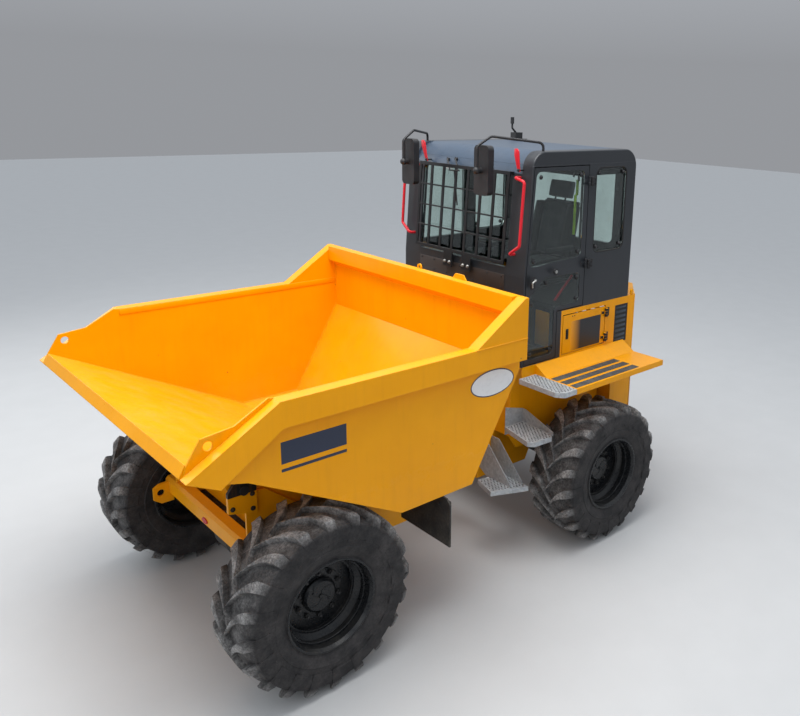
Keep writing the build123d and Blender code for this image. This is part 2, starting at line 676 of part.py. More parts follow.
# Body tub under the cab, with the sill round the foot well
TUB_BACK = -460
with BuildPart() as body_tub:
    with BuildSketch(side(TUB_Y)):
        Polygon(*at_rear([(TUB_BACK, REAR_FRAME_TOP), (TUB_BACK, SILL_Z - SHEET), (640, SILL_Z - SHEET),
                          (640, TUB_Z + 120), (560, TUB_Z), (430, TUB_Z), (380, REAR_FRAME_TOP)]), align=None)
    extrude(amount=SHEET)
    mirror(about=Plane.XZ)
    with BuildSketch(Plane.YZ.offset(REAR_X + 640 - SHEET)):
        with Locations((0, (SILL_Z - SHEET + REAR_FRAME_TOP) / 2)):
            Rectangle(2 * TUB_Y - 1, SILL_Z - SHEET - REAR_FRAME_TOP)
    extrude(amount=SHEET)
    with BuildSketch(Plane.XY.offset(SILL_Z - SHEET)):
        Polygon(*at_rear([(BODY_FRONT, BODY_Y), (CAB_FRONT - 10, BODY_Y), (CAB_FRONT - 10, -BODY_Y),
                          (BODY_FRONT, -BODY_Y)]), align=None)
    extrude(amount=SHEET)
    for panel_y in (BODY_Y, -BODY_Y + SHEET):
        with BuildSketch(side(panel_y)):
            Polygon(*at_rear([(BODY_FRONT, BODY_LOW), (CAB_FRONT - 10, BODY_LOW), (CAB_FRONT - 10, SILL_Z - SHEET),
                              (BODY_FRONT, SILL_Z - SHEET)]), align=None)
        extrude(amount=SHEET)
save(body_tub, "body_tub")

# Engine, one plain block on the frame
with BuildPart() as engine_block:
    with BuildSketch(Plane.XY.offset(REAR_FRAME_TOP)):
        with Locations((REAR_X - 460, 0)):
            Rectangle(1060, 560)
    extrude(amount=620)
save(engine_block, "engine_block")


def upright_hinge(x, z):
    """Hinge plane on the left side of the body, its door in front of it."""
    return Plane(origin=(REAR_X + x, BODY_Y, z), x_dir=(1, 0, 0), z_dir=(0, 0, 1))


# Engine bay sides: left with the service door's opening, both with a louvre opening
TANK_X = (-790, -480)
TANK_TOP = 1240
SERVICE = (-330, 215, 1545, 1885)
LOUVRE = (-640, -460, 1515, 1860)
service_hinges = [upright_hinge(SERVICE[0] + GAP / 2, z) for z in (SERVICE[2] + 60, SERVICE[3] - 60)]
hood_hinges = [Plane(origin=(REAR_X + BODY_BACK - GAP / 2, y, BODY_TOP), x_dir=(-1, 0, 0), z_dir=(0, 1, 0))
               for y in (450, -450)]
with BuildPart() as bay_sides:
    for panel_y, opens in ((BODY_Y, True), (-BODY_Y + SHEET, False)):
        with BuildSketch(side(panel_y)):
            Polygon(*at_rear([(BODY_BACK, TANK_TOP), (TANK_X[1], TANK_TOP), (TANK_X[1], BODY_LOW),
                              (BODY_FRONT, BODY_LOW), (BODY_FRONT, BODY_TOP), (BODY_BACK, BODY_TOP)]), align=None)
            x0, x1, z0, z1 = LOUVRE
            Polygon(*at_rear([(x0, z0), (x1, z0), (x1, z1), (x0, z1)]), align=None, mode=Mode.SUBTRACT)
            if opens:
                x0, x1, z0, z1 = SERVICE
                Polygon(*at_rear([(x0, z0), (x1, z0), (x1, z1), (x0, z1)]), align=None, mode=Mode.SUBTRACT)
        extrude(amount=SHEET)
    with BuildSketch(Plane.YZ.offset(REAR_X + BODY_BACK)):
        with Locations((0, BODY_TOP - 30)):
            Rectangle(2 * (BODY_Y - SHEET), 60)
    extrude(amount=SHEET)
    with BuildSketch(Plane.XY.offset(BODY_TOP - SHEET)):
        with Locations((REAR_X + (BODY_BACK + CAB_BACK) / 2 + 5, 0)):
            Rectangle(CAB_BACK - BODY_BACK, 2 * (BODY_Y - SHEET))
    extrude(amount=SHEET)
    for plane in service_hinges + hood_hinges:
        add(hinge(plane, moving=False))
save(bay_sides, "bay_sides")

# Louvres in the bay sides
with BuildPart() as louvres:
    x0, x1, z0, z1 = LOUVRE
    for panel_y in (BODY_Y - 2, -BODY_Y + SHEET):
        with BuildSketch(side(panel_y)):
            Polygon(*at_rear([(x0 + SEAT, z0 + SEAT), (x1 - SEAT, z0 + SEAT), (x1 - SEAT, z1 - SEAT),
                              (x0 + SEAT, z1 - SEAT)]), align=None)
            Polygon(*at_rear([(x0 + 20, z0 + 20), (x1 - 20, z0 + 20), (x1 - 20, z1 - 20), (x0 + 20, z1 - 20)]),
                    align=None, mode=Mode.SUBTRACT)
            for i in range(7):
                with Locations(*at_rear([((x0 + x1) / 2, z0 + 45 + i * (z1 - z0 - 90) / 6)])):
                    Rectangle(x1 - x0 - 39, 22)
        extrude(amount=6)
save(louvres, "louvres")

# Service door on the left of the engine bay, hinged at its rear edge
with BuildPart() as service_door:
    x0, x1, z0, z1 = SERVICE
    with BuildSketch(side(BODY_Y)):
        Polygon(*at_rear([(x0 + GAP, z0 + GAP), (x1 - GAP, z0 + GAP), (x1 - GAP, z1 - GAP), (x0 + GAP, z1 - GAP)]),
                align=None)
        with Locations(*at_rear([(x1 - 60, (z0 + z1) / 2)])):
            RectangleRounded(34, 90, 8, mode=Mode.SUBTRACT)
    extrude(amount=SHEET)
    with BuildSketch(side(BODY_Y - SHEET)):
        with Locations(*at_rear([(x1 - 60, (z0 + z1) / 2)])):
            RectangleRounded(50, 110, 10)
    extrude(amount=10)
    for plane in service_hinges:
        add(hinge(plane, moving=True))
save(service_door, "service_door")

# Walk-on wings over the rear wheels
wing_section = [
    (BODY_Y, 1530), (BODY_Y + 130, WING_Z), (WING_Y, WING_Z), (WING_Y, WING_Z - WING_EDGE),
    (WING_Y - SHEET, WING_Z - WING_EDGE), (WING_Y - SHEET, WING_Z - SHEET), (BODY_Y + 126, WING_Z - SHEET),
    (BODY_Y, 1520),
]
with BuildPart() as wings:
    with BuildSketch(Plane.YZ.offset(REAR_X + WING_X[0])):
        Polygon(*wing_section, align=None)
    extrude(amount=WING_X[1] - WING_X[0])
    for end_x in (WING_X[0], WING_X[1] - SHEET):
        with BuildSketch(Plane.YZ.offset(REAR_X + end_x)):
            Polygon((BODY_Y, 1445), (BODY_Y, 1525), (BODY_Y + 128, WING_Z - 4), (WING_Y - 4, WING_Z - 4),
                    (WING_Y - 4, WING_Z - WING_EDGE), (BODY_Y + 128, WING_Z - WING_EDGE), align=None)
        extrude(amount=SHEET)
    mirror(about=Plane.XZ)
save(wings, "wings")

# Galvanised steps: tread ahead of the wing, upper step on the tub, lower basket step on plates from the frame
STEP_T = 5
STEP_LIP = 40
UPPER_Z = 1000
LOWER_Z = 570
tread_plan = [(WING_X[1], BODY_Y), (WING_X[1] + TREAD_L, BODY_Y), (WING_X[1] + TREAD_L, WING_Y - 60),
              (WING_X[1] + TREAD_L - 50, WING_Y), (WING_X[1], WING_Y)]
upper_plan = [(690, TUB_Y), (765, 930), (725, 975), (545, 985), (515, 950), (490, TUB_Y)]
lower_plan = [(140, 740), (-150, 870), (-180, 560), (80, 520)]      # from the side plates' front ends
HANG_X = (-152, -28)


def tray(points, top):
    """Shallow pan, open below, with folded edges."""
    with BuildPart() as pan:
        with BuildSketch(Plane.XY.offset(top - STEP_LIP)):
            Polygon(*points, align=None)
        extrude(amount=STEP_LIP)
        with BuildSketch(Plane.XY.offset(top - STEP_LIP)):
            offset(Polygon(*points, align=None, mode=Mode.PRIVATE), amount=-STEP_T, kind=Kind.INTERSECTION)
        extrude(amount=STEP_LIP - STEP_T, mode=Mode.SUBTRACT)
    return pan.part


with BuildPart() as steps:
    add(tray(at_rear(tread_plan), WING_Z))
    add(tray(at_rear(upper_plan), UPPER_Z))
    with BuildSketch(side(TUB_Y + STEP_T)):
        Polygon(*at_rear([(490, 930), (690, 930), (690, 1165), (490, 1110)]), align=None)
    extrude(amount=STEP_T)
    with BuildSketch(Plane.YZ.offset(REAR_X + 490)):
        Polygon((TUB_Y, UPPER_Z - 20), (TUB_Y, 1110), (TUB_Y + 40, 1110), (950, UPPER_Z + 12), (950, UPPER_Z - 20),
                align=None)
    extrude(amount=STEP_T)
    add(tray([(NOSE_X + x, y) for x, y in lower_plan], LOWER_Z))
    for hang_x in HANG_X:
        with BuildSketch(Plane.YZ.offset(NOSE_X + hang_x)):
            Polygon((REAR_FRAME_Y, 620), (REAR_FRAME_Y, 860), (520, 860), (790, LOWER_Z + 20), (790, LOWER_Z - 30),
                    (560, LOWER_Z - 30), align=None)
        extrude(amount=STEP_T + 1)
    mirror(about=Plane.XZ)
save(steps, "steps")

# Tanks behind the rear wheels, bolted to the frame's side plates
TANK_LOW = REAR_FRAME_TOP - 30
with BuildPart() as rear_tanks:
    with BuildSketch(Plane.XY.offset(TANK_LOW)):
        Polygon(*at_rear([(TANK_X[0], REAR_FRAME_Y), (TANK_X[1], REAR_FRAME_Y), (TANK_X[1], 730),
                          (TANK_X[0] + 30, 730), (TANK_X[0], 700)]), align=None)
    extrude(amount=TANK_TOP - TANK_LOW)
    mirror(about=Plane.XZ)
save(rear_tanks, "rear_tanks")

# Counterweight with a towing jaw and the channel above it for the pin
HITCH_PIN_R = 20
HITCH_X = -1100
WEIGHT_Z = (620, 1240)
JAW_Z = (700, 760)
JAW_TOP = 800
with BuildPart() as counterweight:
    with BuildSketch(Plane.XY.offset(WEIGHT_Z[0])):
        Polygon(*at_rear([(-1000, 560), (-1000, -560), (-1060, -520), (-REAR_OVERHANG, -430),
                          (-REAR_OVERHANG, 430), (-1060, 520)]), align=None)
    extrude(amount=WEIGHT_Z[1] - WEIGHT_Z[0])
    for pocket_half, low_z, high_z in ((90, *JAW_Z), (70, JAW_TOP, WEIGHT_Z[1] + 1)):
        with BuildSketch(side(pocket_half)):
            Polygon(*at_rear([(-REAR_OVERHANG - 1, low_z), (HITCH_X + 45, low_z), (HITCH_X + 45, high_z),
                              (-REAR_OVERHANG - 1, high_z)]), align=None)
        extrude(amount=2 * pocket_half, mode=Mode.SUBTRACT)
    with BuildSketch(Plane.XY.offset(WEIGHT_Z[0] - 1)):
        with Locations((REAR_X + HITCH_X, 0)):
            Circle(HITCH_PIN_R)
    extrude(amount=JAW_TOP - WEIGHT_Z[0] + 2, mode=Mode.SUBTRACT)
save(counterweight, "counterweight")

# Engine hood, a shell hinged at its top front edge, with a grille in its rear face
HOOD_LOW = WEIGHT_Z[1] + 10
HOOD_EDGE_R = 90
GRILLE_SLOTS = 8
GRILLE_PITCH = 46
hood_plan = [(BODY_BACK - GAP, BODY_Y - 12), (BODY_BACK - GAP, 12 - BODY_Y), (-940, -570), (-REAR_OVERHANG, -400),
             (-REAR_OVERHANG, 400), (-940, 570)]


def hood_block(plan, low, high, edge_r):
    """Solid hood with its rear top edge rounded."""
    with BuildPart() as block:
        with BuildSketch(Plane.XY.offset(low)):
            add(plan)
        extrude(amount=high - low)
        fillet(block.faces().sort_by(Axis.X)[0].edges().sort_by(Axis.Z)[-1], edge_r)
    return block.part


hood_face = Polygon(*at_rear(hood_plan), align=None)
with BuildPart() as engine_hood:
    add(hood_block(hood_face, HOOD_LOW, BODY_TOP, HOOD_EDGE_R))
    add(hood_block(offset(hood_face, amount=-SHEET, kind=Kind.INTERSECTION), HOOD_LOW - 1, BODY_TOP - SHEET,
                   HOOD_EDGE_R - SHEET), mode=Mode.SUBTRACT)
    with BuildSketch(side(BODY_Y - 40)):
        Polygon(*at_rear([(BODY_BACK - GAP - SHEET - 1, HOOD_LOW - 1), (BODY_BACK, HOOD_LOW - 1),
                          (BODY_BACK, BODY_TOP - 60), (BODY_BACK - GAP - SHEET - 1, BODY_TOP - 60)]), align=None)
    extrude(amount=2 * (BODY_Y - 40), mode=Mode.SUBTRACT)
    with BuildSketch(Plane.YZ.offset(REAR_X - REAR_OVERHANG - 1)):
        with Locations(*[(0, HOOD_LOW + 120 + i * GRILLE_PITCH) for i in range(GRILLE_SLOTS)]):
            RectangleRounded(620, GRILLE_PITCH / 2, 10)
    extrude(amount=SHEET + 2, mode=Mode.SUBTRACT)
    for plane in hood_hinges:
        add(hinge(plane, moving=True))
save(engine_hood, "engine_hood")

# Cab outline in side view, and its inner face one wall inside
cab_outline = [
    (CAB_FRONT, SILL_Z), (CAB_FRONT, BELT_Z), (cab_front(CAB_TOP), CAB_TOP),
    (CAB_BACK, CAB_TOP), (CAB_BACK, BODY_TOP), (BODY_FRONT, BODY_TOP), (BODY_FRONT, SILL_Z),
]
w = CAB_WALL
cab_inner = [
    (CAB_FRONT - w, SILL_Z + w), (CAB_FRONT - w, BELT_Z), (cab_front(LEAN_TOP) - w, VISOR_LOW - 10),
    (cab_front(CAB_TOP) - 110, CAB_TOP - 120), (cab_front(CAB_TOP) - VISOR_L, CAB_TOP - w), (CAB_BACK + w, CAB_TOP - w), (CAB_BACK + w, BODY_TOP + w),
    (BODY_FRONT + w, BODY_TOP + w), (BODY_FRONT + w, SILL_Z + w),
]
DOOR_LOW_X = 295
DOOR_STOP = 25              # width of the frame that the closed door overlaps
DOOR_LIFT = 12              # door's lower edges above the cab's
door_edge = [
    (DOOR_LOW_X, SILL_Z + DOOR_LIFT), (CAB_FRONT - DOOR_FRONT, SILL_Z + DOOR_LIFT),
    (CAB_FRONT - DOOR_FRONT, BELT_Z), (cab_front(ROOF_Z) - DOOR_FRONT, ROOF_Z + 5), (PILLAR_X + 6, ROOF_Z + 5),
    (PILLAR_X + 6, BODY_TOP + DOOR_LIFT), (DOOR_LOW_X, BODY_TOP + DOOR_LIFT),
]
doorway = [
    (DOOR_LOW_X + DOOR_STOP, SILL_Z + w), (CAB_FRONT - DOOR_FRONT - DOOR_STOP, SILL_Z + w),
    (CAB_FRONT - DOOR_FRONT - DOOR_STOP, BELT_Z), (cab_front(ROOF_Z) - DOOR_FRONT - DOOR_STOP, ROOF_Z - 20),
    (PILLAR_X + 6 + DOOR_STOP, ROOF_Z - 20), (PILLAR_X + 6 + DOOR_STOP, BODY_TOP + w),
    (DOOR_LOW_X + DOOR_STOP, BODY_TOP + w),
]
door_hinges = [upright_hinge(PILLAR_X + 6 - GAP / 2, z) for z in (2290, 2960)]
QUARTER = (-510, -115, 2364, 3060)
SCREEN_HALF_W = 545
SCREEN_Z = (2305, 3010)
REAR_GLASS = (560, 2364, 3040)
right_window = [(20, 2340), (CAB_FRONT - 95, 2340), (cab_front(3060) - 95, 3060), (20, 3060)]


def rounded_box(x0, x1, z0, z1, radius):
    """Rounded rectangle between two stations and two heights, in the active side-view sketch."""
    with Locations((REAR_X + (x0 + x1) / 2, (z0 + z1) / 2)):
        RectangleRounded(x1 - x0, z1 - z0, radius)


visor_x = REAR_X + cab_front(VISOR_LOW)
visor_h = CAB_TOP - VISOR_LOW
with BuildPart() as cab_shell:
    with BuildSketch(side(BODY_Y)) as outline:
        Polygon(*at_rear(cab_outline), align=None)
        fillet(outline.vertices().group_by(Axis.Y)[-1].sort_by(Axis.X)[-1], ROOF_R[0])
        fillet(outline.vertices().group_by(Axis.Y)[-1].sort_by(Axis.X)[0], ROOF_R[1])
    extrude(amount=2 * BODY_Y)
    tall = cab_shell.edges().filter_by(Axis.Z).filter_by(lambda e: e.center().X > REAR_X + CAB_FRONT - 5)
    fillet(tall, CORNER_R)
    with BuildSketch(side(BODY_Y - w)):
        Polygon(*at_rear(cab_inner), align=None)
    extrude(amount=2 * (BODY_Y - w), mode=Mode.SUBTRACT)
    with BuildSketch(side(BODY_Y + 1)):
        offset(Polygon(*at_rear(door_edge), align=None, mode=Mode.PRIVATE), amount=GAP, kind=Kind.INTERSECTION)
    extrude(amount=DOOR_T + 6, mode=Mode.SUBTRACT)
    with BuildSketch(side(BODY_Y + 1)):
        Polygon(*at_rear(doorway), align=None)
    extrude(amount=w + 2, mode=Mode.SUBTRACT)
    with BuildSketch(side(BODY_Y + 1)):
        rounded_box(*QUARTER, 60)
    extrude(amount=w + 2, mode=Mode.SUBTRACT)
    with BuildSketch(side(-BODY_Y + w + 1)):
        rounded_box(*QUARTER, 60)
        Polygon(*at_rear(right_window), align=None)
    extrude(amount=w + 2, mode=Mode.SUBTRACT)
    with BuildSketch(Plane.YZ.offset(REAR_X + CAB_FRONT - 170)):
        with Locations((0, sum(SCREEN_Z) / 2)):
            RectangleRounded(2 * SCREEN_HALF_W, SCREEN_Z[1] - SCREEN_Z[0], 30)
    extrude(amount=200, mode=Mode.SUBTRACT)
    with BuildSketch(side(VISOR_HALF_W)):
        with BuildLine():
            visor = ThreePointArc((visor_x, VISOR_LOW), (visor_x - 0.28 * VISOR_L, CAB_TOP - 0.31 * visor_h),
                                  (visor_x - VISOR_L, CAB_TOP))
            Polyline(visor @ 1, (visor_x - VISOR_L, CAB_TOP + 20), (visor_x + 40, CAB_TOP + 20),
                     (visor_x + 40, VISOR_LOW), visor @ 0)
        make_face()
    extrude(amount=2 * VISOR_HALF_W, mode=Mode.SUBTRACT)
    half, low, high = REAR_GLASS
    with BuildSketch(Plane.YZ.offset(REAR_X + CAB_BACK - 1)):
        with Locations((0, (low + high) / 2)):
            RectangleRounded(2 * half, high - low, 60)
    extrude(amount=w + 2, mode=Mode.SUBTRACT)

with BuildPart() as cab_frame:
    add(cab_shell.part)
    split(bisect_by=Plane.XY.offset(ROOF_Z + 20), keep=Keep.BOTTOM)
    for plane in door_hinges:
        add(hinge(plane, moving=False))
save(cab_frame, "cab_frame")

with BuildPart() as cab_roof:
    add(cab_shell.part)
    split(bisect_by=Plane.XY.offset(ROOF_Z + 20), keep=Keep.TOP)
save(cab_roof, "cab_roof")

# Cab glass: windscreen, quarter lights, right side and rear
screen_x = cab_front(SCREEN_Z[0]) - 22, cab_front(SCREEN_Z[1]) - 22
with BuildPart() as cab_glass:
    with BuildSketch(side(SCREEN_HALF_W - SEAT)):
        Polygon(*at_rear([
            (screen_x[0], SCREEN_Z[0] + SEAT), (screen_x[0] + GLASS, SCREEN_Z[0] + SEAT),
            (screen_x[1] + GLASS, SCREEN_Z[1] - SEAT), (screen_x[1], SCREEN_Z[1] - SEAT),
        ]), align=None)
    extrude(amount=2 * (SCREEN_HALF_W - SEAT))
    fillet(cab_glass.edges().filter_by(Axis.X, tolerance=6).sort_by(Axis.Z), 30)
    for pane_y in (BODY_Y - 15, -BODY_Y + 15 + GLASS):
        with BuildSketch(side(pane_y)):
            x0, x1, z0, z1 = QUARTER
            rounded_box(x0 + SEAT, x1 - SEAT, z0 + SEAT, z1 - SEAT, 60 - SEAT)
        extrude(amount=GLASS)
    with BuildSketch(side(-BODY_Y + 15 + GLASS)):
        offset(Polygon(*at_rear(right_window), align=None, mode=Mode.PRIVATE), amount=-SEAT, kind=Kind.INTERSECTION)
    extrude(amount=GLASS)
    with BuildSketch(Plane.YZ.offset(REAR_X + CAB_BACK + 15)):
        with Locations((0, (low + high) / 2)):
            RectangleRounded(2 * (half - SEAT), high - low - 2 * SEAT, 60 - SEAT)
    extrude(amount=GLASS)
save(cab_glass, "cab_glass")

# Cab door: frame with two glasses, hinged at the rear pillar
DOOR_RAIL = 22              # front edge of the door to its glasses
glass_front = CAB_FRONT - DOOR_FRONT - DOOR_RAIL
UPPER_GLASS = [(33, 2355), (glass_front, 2325), (cab_front(3050) - DOOR_FRONT - DOOR_RAIL, 3050), (33, 3050)]
LOWER_GLASS = [(327, 1588), (glass_front, 1588), (glass_front, 2070), (450, 2225), (33, 2225), (33, 1970), (327, 1970)]
PANE_R = 45


def pane(points, inset):
    """Glass outline with rounded corners, inset from its opening."""
    opening = Polygon(*at_rear(points), align=None)
    rounded = fillet(opening.vertices(), PANE_R)
    return offset(rounded, amount=-inset) if inset else rounded


door_openings = [pane(points, 0) for points in (UPPER_GLASS, LOWER_GLASS)]
door_panes = [pane(points, SEAT) for points in (UPPER_GLASS, LOWER_GLASS)]
with BuildPart() as cab_door:
    with BuildSketch(side(BODY_Y)):
        Polygon(*at_rear(door_edge), align=None)
        add(door_openings, mode=Mode.SUBTRACT)
    extrude(amount=DOOR_T)
    for plane in door_hinges:
        add(hinge(plane, moving=True))
save(cab_door, "cab_door")

with BuildPart() as door_glass:
    with BuildSketch(side(BODY_Y - 3)):
        add(door_panes)
    extrude(amount=GLASS)
save(door_glass, "door_glass")

# Windscreen guard: flat uprights and round cross bars in a frame, leaning with the screen
GUARD_HALF_W = 550
GUARD_Z = (2342, 3027)
GUARD_OUT = 34
GUARD_FOOT = 115
lean = Vector(cab_front(GUARD_Z[1]) - cab_front(GUARD_Z[0]), 0, GUARD_Z[1] - GUARD_Z[0])
GUARD_H = lean.length
screen_face = Plane(origin=(REAR_X + cab_front(GUARD_Z[0]), 0, GUARD_Z[0]), x_dir=(0, 1, 0),
                    z_dir=(lean.Z, 0, -lean.X))
guard_plane = screen_face.offset(GUARD_OUT)
with BuildPart() as screen_guard:
    with BuildSketch(guard_plane):
        for edge_y in (0, GUARD_H):
            with Locations((0, edge_y)):
                Rectangle(2 * GUARD_HALF_W, 26)
        for i in range(8):
            with Locations((-GUARD_HALF_W + 13 + i * (2 * GUARD_HALF_W - 26) / 7, GUARD_H / 2)):
                Rectangle(26, GUARD_H)
        for i in range(1, 4):
            with Locations((0, i * GUARD_H / 4)):
                Rectangle(2 * GUARD_HALF_W, 12)
    extrude(amount=10)
    with BuildSketch(guard_plane):
        for foot_y in (-GUARD_FOOT, GUARD_FOOT):
            with Locations((foot_y, -70)):
                Rectangle(110, 130)
    extrude(amount=10)
    with BuildSketch(screen_face):
        with Locations((-GUARD_FOOT, -70), (GUARD_FOOT, -70), (-GUARD_HALF_W + 15, GUARD_H), (GUARD_HALF_W - 15, GUARD_H)):
            Rectangle(30, 26)
    extrude(amount=GUARD_OUT)
save(screen_guard, "screen_guard")

# Mirrors on tube arms from the roof's corner plates
MIRROR = (841, 449, 3049)
MIRROR_FACE = 55            # thickness of the housing
BALL_OUT = 66               # arm's end in front of the housing's middle
ARM_TOP = 3300
with BuildPart() as mirrors:
    with BuildSketch(Plane.YZ.offset(REAR_X + MIRROR[0] - MIRROR_FACE / 2)):
        with Locations((MIRROR[1], MIRROR[2])):
            RectangleRounded(160, 370, 35)
    extrude(amount=MIRROR_FACE)
    ball_x = REAR_X + MIRROR[0] + BALL_OUT
    with BuildLine() as arm:
        FilletPolyline((REAR_X + 468, 700, CAB_TOP), (REAR_X + 468, 700, ARM_TOP - 40), (REAR_X + 790, 470, ARM_TOP),
                       (ball_x, MIRROR[1], ARM_TOP - 70), (ball_x, MIRROR[1], MIRROR[2]), radius=40)
    with BuildSketch(Plane(origin=arm.line @ 0, z_dir=arm.line % 0)):
        Circle(10)
    sweep()
    with BuildSketch(Plane.YZ.offset(REAR_X + MIRROR[0])):
        with Locations((MIRROR[1], MIRROR[2])):
            Circle(22)
    extrude(amount=BALL_OUT + 15)
    mirror(about=Plane.XZ)
save(mirrors, "mirrors")

# Red grab bars, from beside the guard out to the front corners
GRAB_FOOT_Y = 622
GRAB_Y = 728
GRAB_OUT = 60
GRAB_FEET = (78, 660)       # along the screen, from the guard's foot
GRAB_DROP = (75, 25)        # from a foot along to its bend
grab_low, grab_high = GRAB_FEET
grab_route = [
    (GRAB_FOOT_Y, grab_low, 0), (GRAB_FOOT_Y, grab_low, GRAB_OUT), (GRAB_Y, grab_low + GRAB_DROP[0], GRAB_OUT),
    (GRAB_Y, grab_high - GRAB_DROP[1], GRAB_OUT), (GRAB_FOOT_Y, grab_high, GRAB_OUT), (GRAB_FOOT_Y, grab_high, 0),
]
with BuildPart() as grab_bars:
    with BuildLine() as bar:
        FilletPolyline(*[screen_face.from_local_coords(point) for point in grab_route], radius=25)
    with BuildSketch(Plane(origin=bar.line @ 0, z_dir=bar.line % 0)):
        Circle(12)
    sweep()
    mirror(about=Plane.XZ)
save(grab_bars, "grab_bars")

# Beacon's foot and bent stalk at the far edge of the roof, its lamp folded away
STALK = (-520, -600)
with BuildPart() as beacon:
    with BuildSketch(Plane.XY.offset(CAB_TOP)):
        with Locations((REAR_X + STALK[0], STALK[1])):
            Rectangle(170, 120)
    extrude(amount=12)
    with BuildSketch(Plane.XY.offset(CAB_TOP + 12)):
        with Locations((REAR_X + STALK[0], STALK[1])):
            Rectangle(90, 70)
    extrude(amount=58)
    with BuildLine() as stalk:
        FilletPolyline((REAR_X + STALK[0], STALK[1], CAB_TOP + 60), (REAR_X + STALK[0] + 60, STALK[1], CAB_TOP + 110),
                       (REAR_X + STALK[0] + 60, STALK[1], CAB_TOP + 180), radius=20)
    with BuildSketch(Plane(origin=stalk.line @ 0, z_dir=stalk.line % 0)):
        Circle(9)
    sweep()
    with BuildSketch(Plane.XY.offset(CAB_TOP + 150)):
        with Locations((REAR_X + STALK[0] + 60, STALK[1])):
            Circle(17)
    extrude(amount=60)
save(beacon, "beacon")

# Seat on the deck over the engine
SEAT_X = -230
DECK_Z = BODY_TOP + CAB_WALL
with BuildPart() as seat:
    with BuildSketch(side(240)):
        Polygon(*at_rear([(SEAT_X - 230, DECK_Z), (SEAT_X + 180, DECK_Z), (SEAT_X + 180, DECK_Z + 90),
                          (SEAT_X + 260, DECK_Z + 100), (SEAT_X + 270, DECK_Z + 200), (SEAT_X - 150, DECK_Z + 180),
                          (SEAT_X - 220, DECK_Z + 720), (SEAT_X - 320, DECK_Z + 720), (SEAT_X - 270, DECK_Z + 100),
                          (SEAT_X - 230, DECK_Z + 90)]), align=None)
    extrude(amount=480)
save(seat, "seat")

# Steering column and wheel, and the console on the right of the seat
FOOT_Z = SILL_Z + CAB_WALL
column_plane = Plane(origin=(REAR_X + 470, 0, FOOT_Z + 30), x_dir=(0, 1, 0), z_dir=(-0.32, 0, 1))
with BuildPart() as controls:
    with BuildSketch(Plane.XY.offset(FOOT_Z)):
        with Locations((REAR_X + 465, 0)):
            RectangleRounded(190, 170, 30)
    extrude(amount=60)
    with BuildSketch(column_plane):
        Circle(45)
    extrude(amount=760)
    with BuildSketch(Plane(origin=column_plane.origin + column_plane.z_dir * 790, x_dir=(0, 1, 0),
                           z_dir=column_plane.x_dir.cross(column_plane.z_dir))):
        with Locations((190, 0)):
            RegularPolygon(14, 8)
    revolve(axis=Axis(column_plane.origin, column_plane.z_dir))
    with BuildSketch(column_plane.offset(760)):
        for spoke in (0, 120, 240):
            with Locations(Location((0, 0), spoke)):
                Rectangle(185, 30, align=(Align.MIN, Align.CENTER))
        Circle(55)
    extrude(amount=22)
    with BuildSketch(side(-400)):
        Polygon(*at_rear([(-500, DECK_Z), (160, DECK_Z), (160, DECK_Z + 180), (60, DECK_Z + 260), (-500, DECK_Z + 200)]),
                align=None)
    extrude(amount=200)
save(controls, "controls")
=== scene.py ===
"""Looks of the front-tipping site dumper: finishes, tyres, treads, trim and cab fittings.

Metres. +X points forward over the skip, +Y to the left, +Z up, and the ground is at z = 0.
"""
import json
from collections import namedtuple
from functools import cached_property
from math import cos, pi, radians, sin, sqrt, tau

import bmesh
import bpy
from mathutils import Matrix, Vector


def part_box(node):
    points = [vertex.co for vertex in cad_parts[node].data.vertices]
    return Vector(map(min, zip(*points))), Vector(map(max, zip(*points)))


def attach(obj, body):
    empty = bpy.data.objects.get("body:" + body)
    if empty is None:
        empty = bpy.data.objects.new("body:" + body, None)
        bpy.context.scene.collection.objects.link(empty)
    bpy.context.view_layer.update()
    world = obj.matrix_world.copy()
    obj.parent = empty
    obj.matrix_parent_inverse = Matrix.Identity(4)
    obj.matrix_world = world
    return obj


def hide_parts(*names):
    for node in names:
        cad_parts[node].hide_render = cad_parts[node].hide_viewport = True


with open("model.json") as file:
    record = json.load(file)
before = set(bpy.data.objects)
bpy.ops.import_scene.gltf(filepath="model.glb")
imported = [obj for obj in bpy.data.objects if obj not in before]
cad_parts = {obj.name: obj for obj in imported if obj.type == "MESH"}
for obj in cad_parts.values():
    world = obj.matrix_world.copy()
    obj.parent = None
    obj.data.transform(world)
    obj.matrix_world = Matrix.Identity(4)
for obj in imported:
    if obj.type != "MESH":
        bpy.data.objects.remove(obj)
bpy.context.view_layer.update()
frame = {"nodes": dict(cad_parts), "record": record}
nodes = frame["nodes"]

X, Y, Z = Vector((1, 0, 0)), Vector((0, 1, 0)), Vector((0, 0, 1))
SIDES = ((1, "left"), (-1, "right"))


def middle(node):
    low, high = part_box(node)
    return (low + high) / 2


# Places taken from the frame: each wheel's middle, and the side its outer face looks to
WHEELS = {
    place: (middle(f"tyre_{place}"), 1 if "left" in place else -1)
    for place in ("front_left", "front_right", "rear_left", "rear_right")
}
FRONT_AXLE = WHEELS["front_left"][0].x
TYRE_R = WHEELS["front_left"][0].z


def add_object(name, data):
    thing = bpy.data.objects.new(name, data)
    bpy.context.scene.collection.objects.link(thing)
    return thing


# Camera at the photograph's place
EYE = (3.6935, 4.894, 3.566)
HEADING, DIP, ROLL = radians(-135.13), radians(-13.88), radians(1.88)
PHOTO_W, PHOTO_H = 800, 716
FOCAL_PX = 794.9
OPTICAL_CENTRE = (521.1, 296.8)
SENSOR = 36


